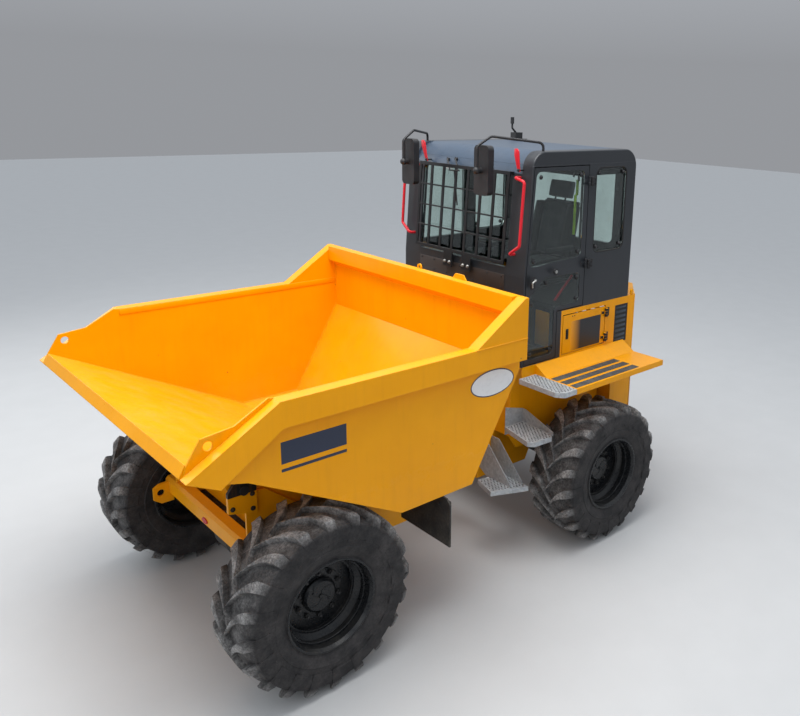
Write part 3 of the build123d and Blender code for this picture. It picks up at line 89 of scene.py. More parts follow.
def make_camera():
    data = bpy.data.cameras.new("camera")
    data.sensor_width = SENSOR
    data.lens = FOCAL_PX * SENSOR / PHOTO_W
    data.shift_x = (PHOTO_W / 2 - OPTICAL_CENTRE[0]) / PHOTO_W
    data.shift_y = (OPTICAL_CENTRE[1] - PHOTO_H / 2) / PHOTO_W
    data.clip_end = 200
    cam = add_object("camera", data)
    ahead = Vector((cos(DIP) * cos(HEADING), cos(DIP) * sin(HEADING), sin(DIP)))
    turn = ahead.to_track_quat("-Z", "Y").to_matrix()
    cam.matrix_world = Matrix.Translation(EYE) @ (turn @ Matrix.Rotation(ROLL, 3, "Z")).to_4x4()
    bpy.context.scene.camera = cam


# Shader nodes
class Shading:
    """Short calls for the nodes of one tree. What feeds a socket is a link, a number or a colour."""

    def __init__(self, tree):
        self.tree = tree

    @cached_property
    def where(self):
        return self.node("TexCoord").outputs["Object"]

    def feed(self, socket, value):
        if isinstance(value, bpy.types.NodeSocket):
            self.tree.links.new(value, socket)
        else:
            socket.default_value = (*value, 1) if socket.type == "RGBA" else value

    def feed_in_order(self, node, values):
        for socket, value in zip(node.inputs, values):
            self.feed(socket, value)

    def node(self, kind, **settings):
        """New node. Settings that name an input feed it, the others set a property."""
        node = self.tree.nodes.new("ShaderNode" + kind)
        for key, value in settings.items():
            socket = node.inputs.get(key.replace("_", " "))
            if socket is None:
                setattr(node, key, value)
            else:
                self.feed(socket, value)
        return node

    def math(self, operation, *values, clamp=False):
        node = self.node("Math", operation=operation, use_clamp=clamp)
        self.feed_in_order(node, values)
        return node.outputs[0]

    def times(self, a, b, clamp=False):
        return self.math("MULTIPLY", a, b, clamp=clamp)

    def plus(self, a, b):
        return self.math("ADD", a, b)

    def mix(self, amount, a, b):
        """Colour from a to b by the amount."""
        node = self.node("Mix", data_type="RGBA")
        for index, value in ((0, amount), (6, a), (7, b)):
            self.feed(node.inputs[index], value)
        return node.outputs[2]

    def span(self, value, low, high, to_low=0.0, to_high=1.0):
        """The value, with its range low to high carried to another."""
        node = self.node("MapRange")
        self.feed_in_order(node, (value, low, high, to_low, to_high))
        return node.outputs[0]

    def axis(self, vector, letter):
        return self.node("SeparateXYZ", Vector=vector).outputs[letter]

    def noise(self, scale, detail=3.0, rough=0.55, where=None):
        where = where or self.where
        return self.node("TexNoise", Vector=where, Scale=scale, Detail=detail, Roughness=rough).outputs[0]

    def patches(self, low, high, *noise_values):
        """Mask that grows where the noise goes from low to high."""
        return self.span(self.noise(*noise_values), low, high)

    def use_group(self, name, **values):
        return self.node("Group", node_tree=GROUPS[name], **values).outputs


class Finish(Shading):
    """Material whose tree feeds a Principled shader. Plain values are set on the shader's own sockets."""

    def __init__(self, name, **shader_values):
        self.material = bpy.data.materials.new(name)
        self.material.use_nodes = True
        super().__init__(self.material.node_tree)
        self.shader = self.tree.nodes["Principled BSDF"]
        for key, value in shader_values.items():
            self.feed(self.shader.inputs[key.replace("_", " ")], value)

    def surface(self, colour, mask, clean, masked, full=1.0):
        """Feed the colour, and a roughness from clean to masked as the mask goes from 0 to full."""
        self.feed(self.shader.inputs["Base Color"], colour)
        self.feed(self.shader.inputs["Roughness"], self.span(mask, 0, full, clean, masked))

    def bump(self, height, distance, strength, **normal):
        relief = self.node("Bump", Height=height, Distance=distance, Strength=strength, **normal)
        self.feed(self.shader.inputs["Normal"], relief.outputs[0])


def make_group(name, inputs, outputs, build):
    """Shader node group with named float inputs (name: default) and outputs (name: socket type)."""
    tree = bpy.data.node_groups.new(name, "ShaderNodeTree")
    for label, default in inputs.items():
        socket = tree.interface.new_socket(label, in_out="INPUT", socket_type="NodeSocketFloat")
        socket.default_value = default
    for label, kind in outputs.items():
        tree.interface.new_socket(label, in_out="OUTPUT", socket_type=kind)
    enter, leave = tree.nodes.new("NodeGroupInput"), tree.nodes.new("NodeGroupOutput")
    build(Shading(tree), enter.outputs, leave.inputs)
    return tree


def build_edge_wear(mask, given, out):
    """Mask of edges: where a rounded normal leaves the true one, broken up by noise."""
    rounded = mask.node("Bevel", samples=4, Radius=given["Width"]).outputs[0]
    likeness = mask.node("VectorMath", operation="DOT_PRODUCT")
    mask.feed_in_order(likeness, (rounded, mask.node("NewGeometry").outputs["Normal"]))
    edge = mask.span(likeness.outputs["Value"], 0.985, 0.86)
    broken = mask.times(edge, mask.patches(0.44, 0.6, 22, 4, 0.7))
    mask.feed(out["Mask"], mask.times(broken, given["Amount"], clamp=True))
    mask.feed(out["Normal"], rounded)


def build_dust(mask, given, out):
    """Mask of dust: low on the machine, on faces that look up, and in blotches."""
    low = mask.span(mask.axis(mask.where, "Z"), 1.3, 0.2)
    settled = mask.span(mask.axis(mask.node("NewGeometry").outputs["Normal"], "Z"), 0.3, 1.0)
    blotch = mask.patches(0.4, 0.68, 5, 6, 0.65)
    fine = mask.patches(0.35, 0.7, 60, 4, 0.6)
    base = mask.plus(mask.times(low, given["Low"]), mask.times(settled, given["Settled"]))
    spread = mask.times(base, mask.plus(blotch, 0.25))
    mask.feed(out["Mask"], mask.times(spread, mask.plus(fine, 0.4), clamp=True))


def build_streaks(mask, given, out):
    """Mask of faint runs down upright faces, stretched along Z."""
    stretched = mask.node("Mapping", Vector=mask.where, Scale=(14, 14, 0.9)).outputs[0]
    runs = mask.patches(0.5, 0.72, 1.6, 5, 0.7, stretched)
    mask.feed(out["Mask"], mask.times(runs, given["Amount"], clamp=True))


def build_orange_peel(relief, given, out):
    """Height of a sprayed coat: a fine ripple over slow waves of the sheet."""
    ripple = relief.times(relief.noise(420, 2, 0.5), given["Ripple"])
    waves = relief.times(relief.noise(7, 2, 0.5), given["Waves"])
    relief.feed(out["Height"], relief.plus(ripple, waves))


FLOAT, VECTOR = "NodeSocketFloat", "NodeSocketVector"
GROUPS = {
    "edge_wear": make_group("edge_wear", {"Width": 0.004, "Amount": 0.5}, {"Mask": FLOAT, "Normal": VECTOR},
                            build_edge_wear),
    "dust": make_group("dust", {"Low": 0.4, "Settled": 0.3}, {"Mask": FLOAT}, build_dust),
    "streaks": make_group("streaks", {"Amount": 0.3}, {"Mask": FLOAT}, build_streaks),
    "orange_peel": make_group("orange_peel", {"Ripple": 0.3, "Waves": 1.0}, {"Height": FLOAT},
                              build_orange_peel),
}

# Colours that several finishes share
DUST = (0.33, 0.29, 0.23)
RUST = (0.16, 0.055, 0.02)
STEEL = (0.22, 0.22, 0.23)
YELLOW = (0.88, 0.36, 0.0)
YELLOW_WORN = (0.5, 0.19, 0.02)
BLACK = (0.012, 0.013, 0.015)
# Painted sky sheen, lighter and bluer, for the cab's visor and roof top
SKY_SHEEN_BLUE = (0.040, 0.062, 0.095)


def shaded(colour, factor, lift=0.0):
    return tuple(min(1, c * factor + lift) for c in colour)


def painted(name, colour, rough, low_dust=0.35, settled=0.2, wear=0.5, under=RUST, ripple=0.25, shine=0.3,
            upper_colour=None):
    """Sprayed machine paint: slight colour drift, dust, runs, worn edges and an orange-peel coat. An upper
    colour is a second colour above a height and within a half width: the black bracket on the skip pivots,
    and a painted sky sheen, lighter and bluer, on the cab's visor and roof top."""
    paint = Finish(name, Roughness=rough, Specular_IOR_Level=shine)
    coat = paint.mix(paint.patches(0.35, 0.65, 2.2, 4), shaded(colour, 0.9), colour)
    # The upper colour can be a painted sheen, as on the cab's visor and roof top
    if upper_colour:
        second, low, half_width = upper_colour
        high = paint.span(paint.axis(paint.where, "Z"), low, low + 0.001)
        across = paint.math("ABSOLUTE", paint.axis(paint.where, "Y"))
        within = paint.span(across, half_width, half_width - 0.001)
        coat = paint.mix(paint.times(high, within), coat, second)
    worn = paint.use_group("edge_wear", Width=0.005, Amount=wear)
    coat = paint.mix(worn["Mask"], coat, under)
    coat = paint.mix(paint.use_group("streaks", Amount=0.16)["Mask"], coat, shaded(colour, 0.55))
    dust = paint.use_group("dust", Low=low_dust, Settled=settled)["Mask"]
    paint.surface(paint.mix(dust, coat, DUST), dust, rough, 0.85, full=0.7)
    peel = paint.use_group("orange_peel", Ripple=ripple, Waves=1.2)["Height"]
    paint.bump(peel, 0.0016, 0.5, Normal=worn["Normal"])
    return paint.material


def skip_paint():
    """Skip paint: slight drift, worn edges, chips in patches, runs and dust."""
    paint = Finish("skip_paint", Specular_IOR_Level=0.2)
    coat = paint.mix(paint.patches(0.35, 0.65, 1.7, 4), (0.84, 0.335, 0.0), (0.90, 0.37, 0.0))
    worn = paint.use_group("edge_wear", Width=0.006, Amount=0.4)
    coat = paint.mix(worn["Mask"], coat, (0.55, 0.2, 0.02))
    spots = paint.node("TexVoronoi", Vector=paint.where, Scale=9).outputs["Distance"]
    chips = paint.times(paint.span(spots, 0.055, 0.035), paint.patches(0.55, 0.62, 3.1, 3))
    coat = paint.mix(chips, coat, (0.2, 0.08, 0.03))
    coat = paint.mix(paint.use_group("streaks", Amount=0.12)["Mask"], coat, (0.5, 0.19, 0.01))
    dust = paint.use_group("dust", Low=0.2, Settled=0.16)["Mask"]
    paint.surface(paint.mix(dust, coat, (0.42, 0.31, 0.17)), dust, 0.27, 0.8, full=0.6)
    peel = paint.use_group("orange_peel", Ripple=0.2, Waves=2.2)["Height"]
    paint.bump(peel, 0.002, 0.5, Normal=worn["Normal"])
    return paint.material


def galvanised():
    """Hot-dip zinc: a spangle of dull and bright crystals under a cloudy bloom."""
    zinc = Finish("galvanised", Metallic=0.2)
    cells = zinc.node("TexVoronoi", Vector=zinc.where, Scale=55).outputs["Color"]
    tone = zinc.node("SeparateColor", Color=cells).outputs
    spangle = zinc.mix(tone[0], (0.33, 0.35, 0.37), (0.50, 0.53, 0.55))
    cloud = zinc.times(zinc.patches(0.35, 0.7, 9, 5), 0.45)
    zinc.surface(zinc.mix(cloud, spangle, (0.56, 0.57, 0.57)), tone[1], 0.34, 0.56)
    rounded = zinc.use_group("edge_wear", Width=0.003, Amount=0.0)["Normal"]
    zinc.bump(zinc.noise(160, 3), 0.0006, 0.4, Normal=rounded)
    return zinc.material


def tyre_rubber():
    """Black rubber, dusted grey on the lugs and the tread floor, cleaner on the sidewall."""
    rubber = Finish("tyre_rubber", Specular_IOR_Level=0.18)
    reach = rubber.node("Attribute", attribute_name="from_axle").outputs["Fac"]
    blotch = rubber.patches(0.38, 0.66, 8, 6, 0.7)
    fine = rubber.patches(0.35, 0.7, 70, 5, 0.7)
    tread = rubber.times(rubber.span(reach, 0.51, 0.575, 0.06, 0.9), rubber.plus(blotch, 0.35))
    dusty = rubber.times(tread, rubber.plus(fine, 0.35), clamp=True)
    clean = rubber.mix(blotch, (0.016, 0.0155, 0.0165), (0.03, 0.0265, 0.0265))
    rubber.surface(rubber.mix(dusty, clean, (0.36, 0.35, 0.34)), dusty, 0.62, 0.95)
    height = rubber.plus(rubber.times(rubber.noise(240, 4), 0.6), rubber.noise(35, 4))
    rubber.bump(height, 0.0022, 0.6)
    return rubber.material


def plain_finish(name, colour, rough, metallic=0.0, grain=0.3, scale=300, drift=0.25, low_dust=0.3,
                 settled=0.25):
    """Moulded plastic, rubber, castings and bare metal: drift, dust, and a fine grain."""
    plain = Finish(name, Metallic=metallic, Specular_IOR_Level=0.3)
    body = plain.mix(plain.patches(0.35, 0.65, 12, 4), colour, shaded(colour, 1 + drift, 0.004))
    dust = plain.use_group("dust", Low=low_dust, Settled=settled)["Mask"]
    plain.surface(plain.mix(dust, body, DUST), dust, rough, 0.9, full=0.7)
    rounded = plain.use_group("edge_wear", Width=0.003, Amount=0.0)["Normal"]
    plain.bump(plain.noise(scale, 3), 0.0012, grain, Normal=rounded)
    return plain.material


def smeared(name, mask_values, clean, smeared_colour, clean_rough, smeared_rough, **shader_values):
    """Polished metal or glass with a smear of dust. The mask values are its levels and its noise."""
    gloss = Finish(name, **shader_values)
    smear = gloss.patches(*mask_values)
    gloss.surface(gloss.mix(smear, clean, smeared_colour), smear, clean_rough, smeared_rough)
    return gloss.material


def seat_cloth(name, colour):
    """Woven seat cover: crossed threads and worn patches."""
    cloth = Finish(name, Sheen_Weight=0.25, Sheen_Roughness=0.5)
    threads = [cloth.node("TexWave", wave_type="BANDS", bands_direction=axis, Vector=cloth.where, Scale=160,
                          Distortion=0.4).outputs[1] for axis in ("X", "Y")]
    weave = cloth.times(*threads)
    faded = cloth.patches(0.4, 0.7, 11, 4)
    worn = cloth.mix(faded, colour, shaded(colour, 1.7, 0.01))
    cloth.surface(cloth.mix(cloth.times(weave, 0.5), worn, shaded(colour, 0.4)), faded, 0.95, 0.8)
    cloth.bump(weave, 0.0015, 0.6)
    return cloth.material


def grit_strip():
    """Anti-slip tape: coarse mineral grit in dark grey."""
    tape = Finish("grit_strip")
    grit = tape.noise(520, 3, 0.7)
    scuff = tape.patches(0.45, 0.7, 14, 5, 0.7)
    dark = tape.mix(tape.span(grit, 0.4, 0.65), (0.022, 0.024, 0.027), (0.085, 0.088, 0.092))
    tape.surface(tape.mix(tape.times(scuff, 0.4), dark, (0.2, 0.185, 0.16)), scuff, 0.8, 0.95)
    tape.bump(grit, 0.002, 0.9)
    return tape.material


def decal(name, colour, second=None, fade=None):
    """Printed film. A second colour fades in along X where the print has a shaded ground."""
    film = Finish(name)
    scuff = film.patches(0.5, 0.75, 30, 5, 0.7)
    base = film.mix(film.times(scuff, 0.25), colour, shaded(colour, 0.6, 0.03))
    if second:
        base = film.mix(film.span(film.axis(film.where, "X"), *fade), base, second)
    film.surface(base, scuff, 0.28, 0.5)
    film.bump(film.noise(200, 2), 0.0006, 0.3)
    return film.material


MATERIALS = {
    "paint_yellow": painted("paint_yellow", YELLOW, 0.3, low_dust=0.06, settled=0.06, under=YELLOW_WORN,
                            shine=0.2),
    "black_steel": painted("black_steel", BLACK, 0.38, low_dust=0.2, under=STEEL, wear=0.25),
    "cast_weight": painted("cast_weight", YELLOW, 0.34, low_dust=0.5, ripple=0.8),
    # Cab paint: its upper colour is a painted sky sheen, lighter and bluer, on the visor and roof top
    "cab_paint": painted("cab_paint", (0.026, 0.029, 0.034), 0.36, low_dust=0, settled=0.06, wear=0.1,
                         under=STEEL, shine=0.45, upper_colour=(SKY_SHEEN_BLUE, 3.029, 0.641)),
    "galvanised": galvanised(),
    "rim_paint": painted("rim_paint", (0.006, 0.0075, 0.01), 0.26, low_dust=0.05, settled=0.05, wear=0.2,
                         under=STEEL),
    "tyre": tyre_rubber(),
    "glass": smeared("cab_glass", (0.45, 0.75, 3, 5, 0.7), (0.80, 0.90, 0.86), (0.70, 0.78, 0.74), 0.01, 0.07,
                     Transmission_Weight=1.0, IOR=1.45),
    "chrome_rod": smeared("chrome_rod", (0.4, 0.7, 26, 4), (0.78, 0.79, 0.81), (0.6, 0.6, 0.6), 0.08, 0.26,
                          Metallic=1.0),
    "rubber": plain_finish("rubber", (0.014, 0.014, 0.015), 0.6),
    "engine_iron": plain_finish("engine_iron", (0.05, 0.055, 0.06), 0.6, 0.3, grain=0.8, scale=140),
    "red_paint": painted("red_paint", (0.62, 0.018, 0.03), 0.3, low_dust=0, settled=0.08, wear=0.2,
                         under=STEEL),
    "black_plastic": plain_finish("black_plastic", (0.018, 0.018, 0.02), 0.42, low_dust=0, settled=0.05),
    "seat_fabric": seat_cloth("seat_fabric", (0.03, 0.034, 0.042)),
}
SKIP_PAINT = skip_paint()
PIVOT_PAINT = painted("pivot_paint", YELLOW, 0.34, low_dust=0.1, settled=0.1, wear=0.3, shine=0.2,
                      upper_colour=(BLACK, 1.162, 0.7))
BROWN_PLATE = painted("brown_plate", (0.05, 0.036, 0.03), 0.42, low_dust=0, settled=0.1, wear=0.15,
                      under=STEEL)
MIRROR_GLASS = smeared("mirror_glass", (0.45, 0.75, 15, 4), (0.8, 0.82, 0.84), (0.7, 0.71, 0.72), 0.02, 0.12,
                       Metallic=1.0)
GRIT = grit_strip()
HI_VIS = seat_cloth("hi_vis_web", (0.42, 0.72, 0.02))
# Painted shade: near-black discs standing in for the dark seen down the step trays' punched openings
HOLE_SHADE = plain_finish("hole_shade", (0.006, 0.006, 0.007), 0.9, drift=0, low_dust=0.1, settled=0.05)
ZINC_BOLT = plain_finish("zinc_bolt", (0.42, 0.42, 0.4), 0.38, 0.9, grain=0.15)
DARK_BOLT = plain_finish("dark_bolt", (0.03, 0.03, 0.032), 0.45, 0.6, grain=0.2, low_dust=0.08, settled=0.08)
SEAT_TRIM = plain_finish("seat_trim", (0.02, 0.02, 0.022), 0.55, low_dust=0, settled=0.1)
AMBER_LENS = plain_finish("amber_lens", (0.75, 0.2, 0.01), 0.2, grain=0.1, scale=400)
CLEAR_LENS = plain_finish("clear_lens", (0.75, 0.76, 0.76), 0.12, grain=0.2, scale=400)
RED_REFLECTOR = plain_finish("red_reflector", (0.45, 0.008, 0.012), 0.15, grain=0.25, scale=500)
NAVY_DECAL = decal("navy_decal", (0.012, 0.02, 0.05))
WHITE_DECAL = decal("white_decal", (0.8, 0.8, 0.8))
SHADED_DECAL = decal("shaded_decal", (0.014, 0.014, 0.017), YELLOW, (-1.18, -1.06))
LOUVRE_MESH = decal("louvre_mesh", (0.012, 0.014, 0.018), (0.05, 0.075, 0.11), (-1.64, -1.80))


def dress_cad_nodes():
    """Give each carried-over CAD node its finish."""
    record = frame["record"]
    finishes = {part["node"]: MATERIALS[part["material_slot"]] for part in record["subparts"]}
    finishes.update({node: SKIP_PAINT for node in record["behaviour"]["bodies"]["skip"]})
    finishes["skip_pivots"] = PIVOT_PAINT
    for name, node in nodes.items():
        node.data.materials.clear()
        node.data.materials.append(finishes[name])


# Mesh helpers
def finish_mesh(bm, name, body, slot, finish=None, sharp=radians(32)):
    """Write the bmesh to a piece that rides on a body, smooth but for edges sharper than the angle. Its
    finish is the slot's own unless one is given."""
    bmesh.ops.recalc_face_normals(bm, faces=bm.faces)
    for face in bm.faces:
        face.smooth = True
    for edge in bm.edges:
        edge.smooth = len(edge.link_faces) == 2 and edge.calc_face_angle(0) < sharp
    mesh = bpy.data.meshes.new(name)
    bm.to_mesh(mesh)
    bm.free()
    mesh.materials.append(finish or MATERIALS[slot])
    piece = add_object(name, mesh)
    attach(piece, body)
    return piece


def bevel_edges(bm, edges, offset, segments=2):
    return bmesh.ops.bevel(bm, geom=list(edges), offset=offset, segments=segments, profile=0.5,
                           affect="EDGES", material=-1)["verts"]


def thicken(bm, faces, by):
    """Extrude faces by a vector. Returns what is new."""
    grown = bmesh.ops.extrude_face_region(bm, geom=list(faces))["geom"]
    bmesh.ops.translate(bm, vec=by, verts=[v for v in grown if isinstance(v, bmesh.types.BMVert)])
    return grown


def faces_of(verts):
    return {f for v in verts for f in v.link_faces}


def edges_of(verts):
    return {e for v in verts for e in v.link_edges}


def add_box(bm, low, high, bevel=0.0, segments=2):
    low, high = Vector(low), Vector(high)
    verts = bmesh.ops.create_cube(bm, size=1)["verts"]
    bmesh.ops.scale(bm, vec=high - low, verts=verts)
    bmesh.ops.translate(bm, vec=(low + high) / 2, verts=verts)
    return bevel_edges(bm, edges_of(verts), bevel, segments) if bevel else verts


def add_side_box(bm, side, low, high, bevel=0.0):
    """Box given for the left side, mirrored for the right."""
    y0, y1 = sorted((side * low[1], side * high[1]))
    add_box(bm, (low[0], y0, low[2]), (high[0], y1, high[2]), bevel)


def add_rod(bm, start, end, radius, sides=24, end_radius=None, bevel=0.0):
    """Round bar from one point to another, or a prism of few sides."""
    start, end = Vector(start), Vector(end)
    verts = bmesh.ops.create_cone(bm, cap_ends=True, segments=sides, radius1=radius,
                                  radius2=radius if end_radius is None else end_radius,
                                  depth=(end - start).length)["verts"]
    turn = (end - start).to_track_quat("Z", "Y").to_matrix().to_4x4()
    bmesh.ops.transform(bm, matrix=Matrix.Translation((start + end) / 2) @ turn, verts=verts)
    if bevel:
        bevel_edges(bm, [e for e in edges_of(verts) if any(len(f.verts) > 4 for f in e.link_faces)], bevel)
    return verts


def add_ball(bm, centre, radius, round_it, up_it):
    ball = bmesh.ops.create_uvsphere(bm, u_segments=round_it, v_segments=up_it, radius=radius)["verts"]
    bmesh.ops.translate(bm, vec=centre, verts=ball)


def add_bolt(bm, foot, direction, size=0.009, washer=True):
    """Hexagon head on its washer. The size is the head's half width."""
    foot, out = Vector(foot), Vector(direction) * size
    if washer:
        add_rod(bm, foot, foot + out * 0.25, size * 1.35, 16)
    add_rod(bm, foot + out * 0.25, foot + out * 0.9, size * 1.08, 6, bevel=size * 0.1)
    add_rod(bm, foot + out * 0.9, foot + out * 1.25, size * 0.6, 10)


def add_knob(bm, foot, direction, radius, height):
    """Domed cap."""
    foot, waist = Vector(foot), Vector(foot) + Vector(direction) * height * 0.5
    add_rod(bm, foot, waist, radius, 20)
    add_rod(bm, waist, foot + Vector(direction) * height, radius * 0.92, 20, end_radius=radius * 0.55)


def tube(name, points, radius, body, slot, finish=None, round_corners=0.0):
    """Bent tube along points, with rounded corners, made a mesh."""
    points = [Vector(p) for p in points]
    route = points[:1]
    for before, point, after in zip(points, points[1:], points[2:]):
        if not round_corners:
            route.append(point)
            continue
        back, ahead = before - point, after - point
        reach = min(round_corners, back.length / 2.2, ahead.length / 2.2)
        start, end = point + back.normalized() * reach, point + ahead.normalized() * reach
        for step in range(7):
            t = step / 6
            route.append(start * (1 - t) ** 2 + point * 2 * t * (1 - t) + end * t ** 2)
    route.append(points[-1])
    curve = bpy.data.curves.new(name, "CURVE")
    curve.dimensions = "3D"
    curve.bevel_depth = radius
    curve.bevel_resolution = 6
    curve.use_fill_caps = True
    spline = curve.splines.new("POLY")
    spline.points.add(len(route) - 1)
    for place, target in zip(spline.points, route):
        place.co = (*target, 1)
    shape = add_object(name, curve)
    mesh = bpy.data.meshes.new_from_object(shape.evaluated_get(bpy.context.evaluated_depsgraph_get()))
    bpy.data.objects.remove(shape)
    bpy.data.curves.remove(curve)
    bm = bmesh.new()
    bm.from_mesh(mesh)
    bpy.data.meshes.remove(mesh)
    finish_mesh(bm, name, body, slot, finish, sharp=radians(50))


def box_piece(name, boxes, body, slot, finish=None, bevel=0.0, sides=(1,)):
    """Piece of boxes, each given by its low and high corners, on one side or both."""
    bm = bmesh.new()
    for side in sides:
        for low, high in boxes:
            add_side_box(bm, side, low, high, bevel)
    finish_mesh(bm, name, body, slot, finish)


# Tyres: a turned carcass with curved lugs on each half
LUGS = 20
LUG_H = 0.036
LUG_SWEEP = radians(21)     # from the shoulder to the lug's nose at the middle
LUG_TOP_W, LUG_FOOT_W = 0.068, 0.088
LUG_ROOT, SHOULDER_ROOT = 0.03, 0.07        # how deep the foot is sunk, and how much more at the shoulder
LUG_TAPER = 0.25            # share of the width lost at the nose
LUG_SKEW = 0.42             # how far the ends lean along the bend
LUG_CROWN = 0.012           # fall of the lugs' tops at the shoulder
FLOOR_CROWN = 0.022         # the same for the tread floor
SHOULDER_OUT, NOSE_OVER = 0.016, 0.014      # the lug's ends, past the tread's edge and past the middle
SHOULDER_END, SHOULDER_FALL = 0.14, 0.05    # share of the lug that is shoulder, and its fall
NOSE_START, NOSE_WIDTH = 0.93, 0.85         # where the blunt nose starts, and its share of the width
TREAD_HALF, SIDE_HALF = 0.215, 0.23
BEAD_R = 0.284
INNER_R, INNER_HALF = BEAD_R + 0.02, 0.15   # the carcass's inner wall
GROUND_GAP = 0.0003         # from the ground to the lowest corner
TREAD_STOPS = (-1, -0.8, -0.55, -0.28, 0, 0.28, 0.55, 0.8, 1)
SIDEWALL = (                # radius and distance from the middle plane
    (0.505, 0.2265), (0.47, SIDE_HALF), (0.43, 0.2295), (0.425, 0.2255), (0.385, 0.222), (0.38, 0.2255),
    (0.345, 0.217), (0.318, 0.205), (0.306, 0.2), (0.299, 0.206), (0.289, 0.203), (BEAD_R, 0.19),
)


def carcass_radius(y):
    """Radius of the tread floor at a distance from the middle plane."""
    return TYRE_R - LUG_H - 0.004 - FLOOR_CROWN * (abs(y) / TREAD_HALF) ** 3


def add_lug(bm, side, start_angle):
    """One lug: a bar laid flat, tapered, then bent round the tread from the shoulder to the middle."""
    sheet = bmesh.ops.create_grid(bm, x_segments=9, y_segments=3, size=0.5)["verts"]
    grown = bmesh.ops.extrude_face_region(bm, geom=list(faces_of(sheet)))["geom"]
    roof = {v for v in grown if isinstance(v, bmesh.types.BMVert)}
    for v in set(sheet) | roof:
        t, across = v.co.x + 0.5, v.co.y    # t runs from the shoulder (0) to the nose (1)
        y = (1 - t) * (TREAD_HALF + SHOULDER_OUT) - t * NOSE_OVER
        bend = LUG_SWEEP * (0.18 * t + 0.82 * t ** 2.3)
        width = (LUG_TOP_W if v in roof else LUG_FOOT_W) * (1 - LUG_TAPER * t ** 2)
        if t > NOSE_START:
            width *= NOSE_WIDTH
        shoulder = max(0.0, (SHOULDER_END - t) / SHOULDER_END)
        if v in roof:
            radius = TYRE_R - LUG_CROWN * (abs(y) / TREAD_HALF) ** 4 - SHOULDER_FALL * shoulder ** 1.6
        else:
            radius = carcass_radius(y) - LUG_ROOT - SHOULDER_ROOT * shoulder
        skewed_y = y - across * width * LUG_SKEW * (0.5 + t) * (0.2 + t)
        a = start_angle + bend + across * width / TYRE_R
        v.co = (radius * cos(a), side * skewed_y, -radius * sin(a))
    rims = {e for f in grown if isinstance(f, bmesh.types.BMFace) for e in f.edges
            if len(e.link_faces) == 2 and e.calc_face_angle(0) > radians(40)}
    bevel_edges(bm, rims, 0.0035, segments=1)


def add_ring(bm, profile):
    """Turn a closed profile of (radius, y) points about the Y axis."""
    verts = [bm.verts.new((r, y, 0)) for r, y in profile]
    edges = [bm.edges.new(pair) for pair in zip(verts, verts[1:] + verts[:1])]
    bmesh.ops.spin(bm, geom=verts + edges, cent=(0, 0, 0), axis=Y, angle=tau, steps=96, use_merge=True)


def make_tyre(place):
    centre, _ = WHEELS[place]
    bm = bmesh.new()
    tread = [(carcass_radius(stop * TREAD_HALF), stop * TREAD_HALF) for stop in TREAD_STOPS]
    inside = [(INNER_R, INNER_HALF), (INNER_R, -INNER_HALF)]
    add_ring(bm, [(r, -y) for r, y in reversed(SIDEWALL)] + tread + list(SIDEWALL) + inside)
    bmesh.ops.remove_doubles(bm, verts=bm.verts, dist=0.0002)
    bmesh.ops.recalc_face_normals(bm, faces=bm.faces)
    for i in range(LUGS):
        for half, start in ((1, i), (-1, i + 0.5)):
            add_lug(bm, half, tau * start / LUGS)
    highest = TYRE_R - GROUND_GAP
    for v in bm.verts:
        reach = sqrt(v.co.x ** 2 + v.co.z ** 2)
        if reach > highest:
            v.co = (v.co.x * highest / reach, v.co.y, v.co.z * highest / reach)
    bmesh.ops.translate(bm, vec=centre, verts=bm.verts)
    piece = finish_mesh(bm, f"tyre_tread_{place}", f"wheel_{place}", "tyre", sharp=radians(24))
    from_axle = piece.data.attributes.new("from_axle", "FLOAT", "POINT")
    for v, value in zip(piece.data.vertices, from_axle.data):
        value.value = sqrt((v.co.x - centre.x) ** 2 + (v.co.z - centre.z) ** 2)
    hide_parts(f"tyre_{place}")


# Wheel trim, with distances outward from the wheel's middle plane
DISC_OUT, HUB_OUT = 0.024, 0.0722
NUTS, NUT_CIRCLE = 10, 0.143
NUT_STEPS = (               # washer, nut and stud: start, end, radius, sides and bevel
    (0, 0.006, 0.019, 16, 0), (0.006, 0.028, 0.0155, 6, 0.002), (0.028, 0.04, 0.009, 12, 0),
)
VALVE_UP, VALVE_ALONG = 0.235, 0.02
HUB_PLUG_ANGLES, HUB_PLUG_CIRCLE = (0.6, 3.7), 0.062
HUB_RIBS, RIB_STEPS = 4, 7
RIB_START_R, RIB_STEP_R, RIB_STEP_TURN = 0.018, 0.0115, 0.16
RIM_STEPS = ((0.2722, 0.259, 0.118, 0.146), (0.242, 0.226, 0.052, 0.064))   # both radii, start and end


def spoke(angle):
    return Vector((cos(angle), 0, sin(angle)))


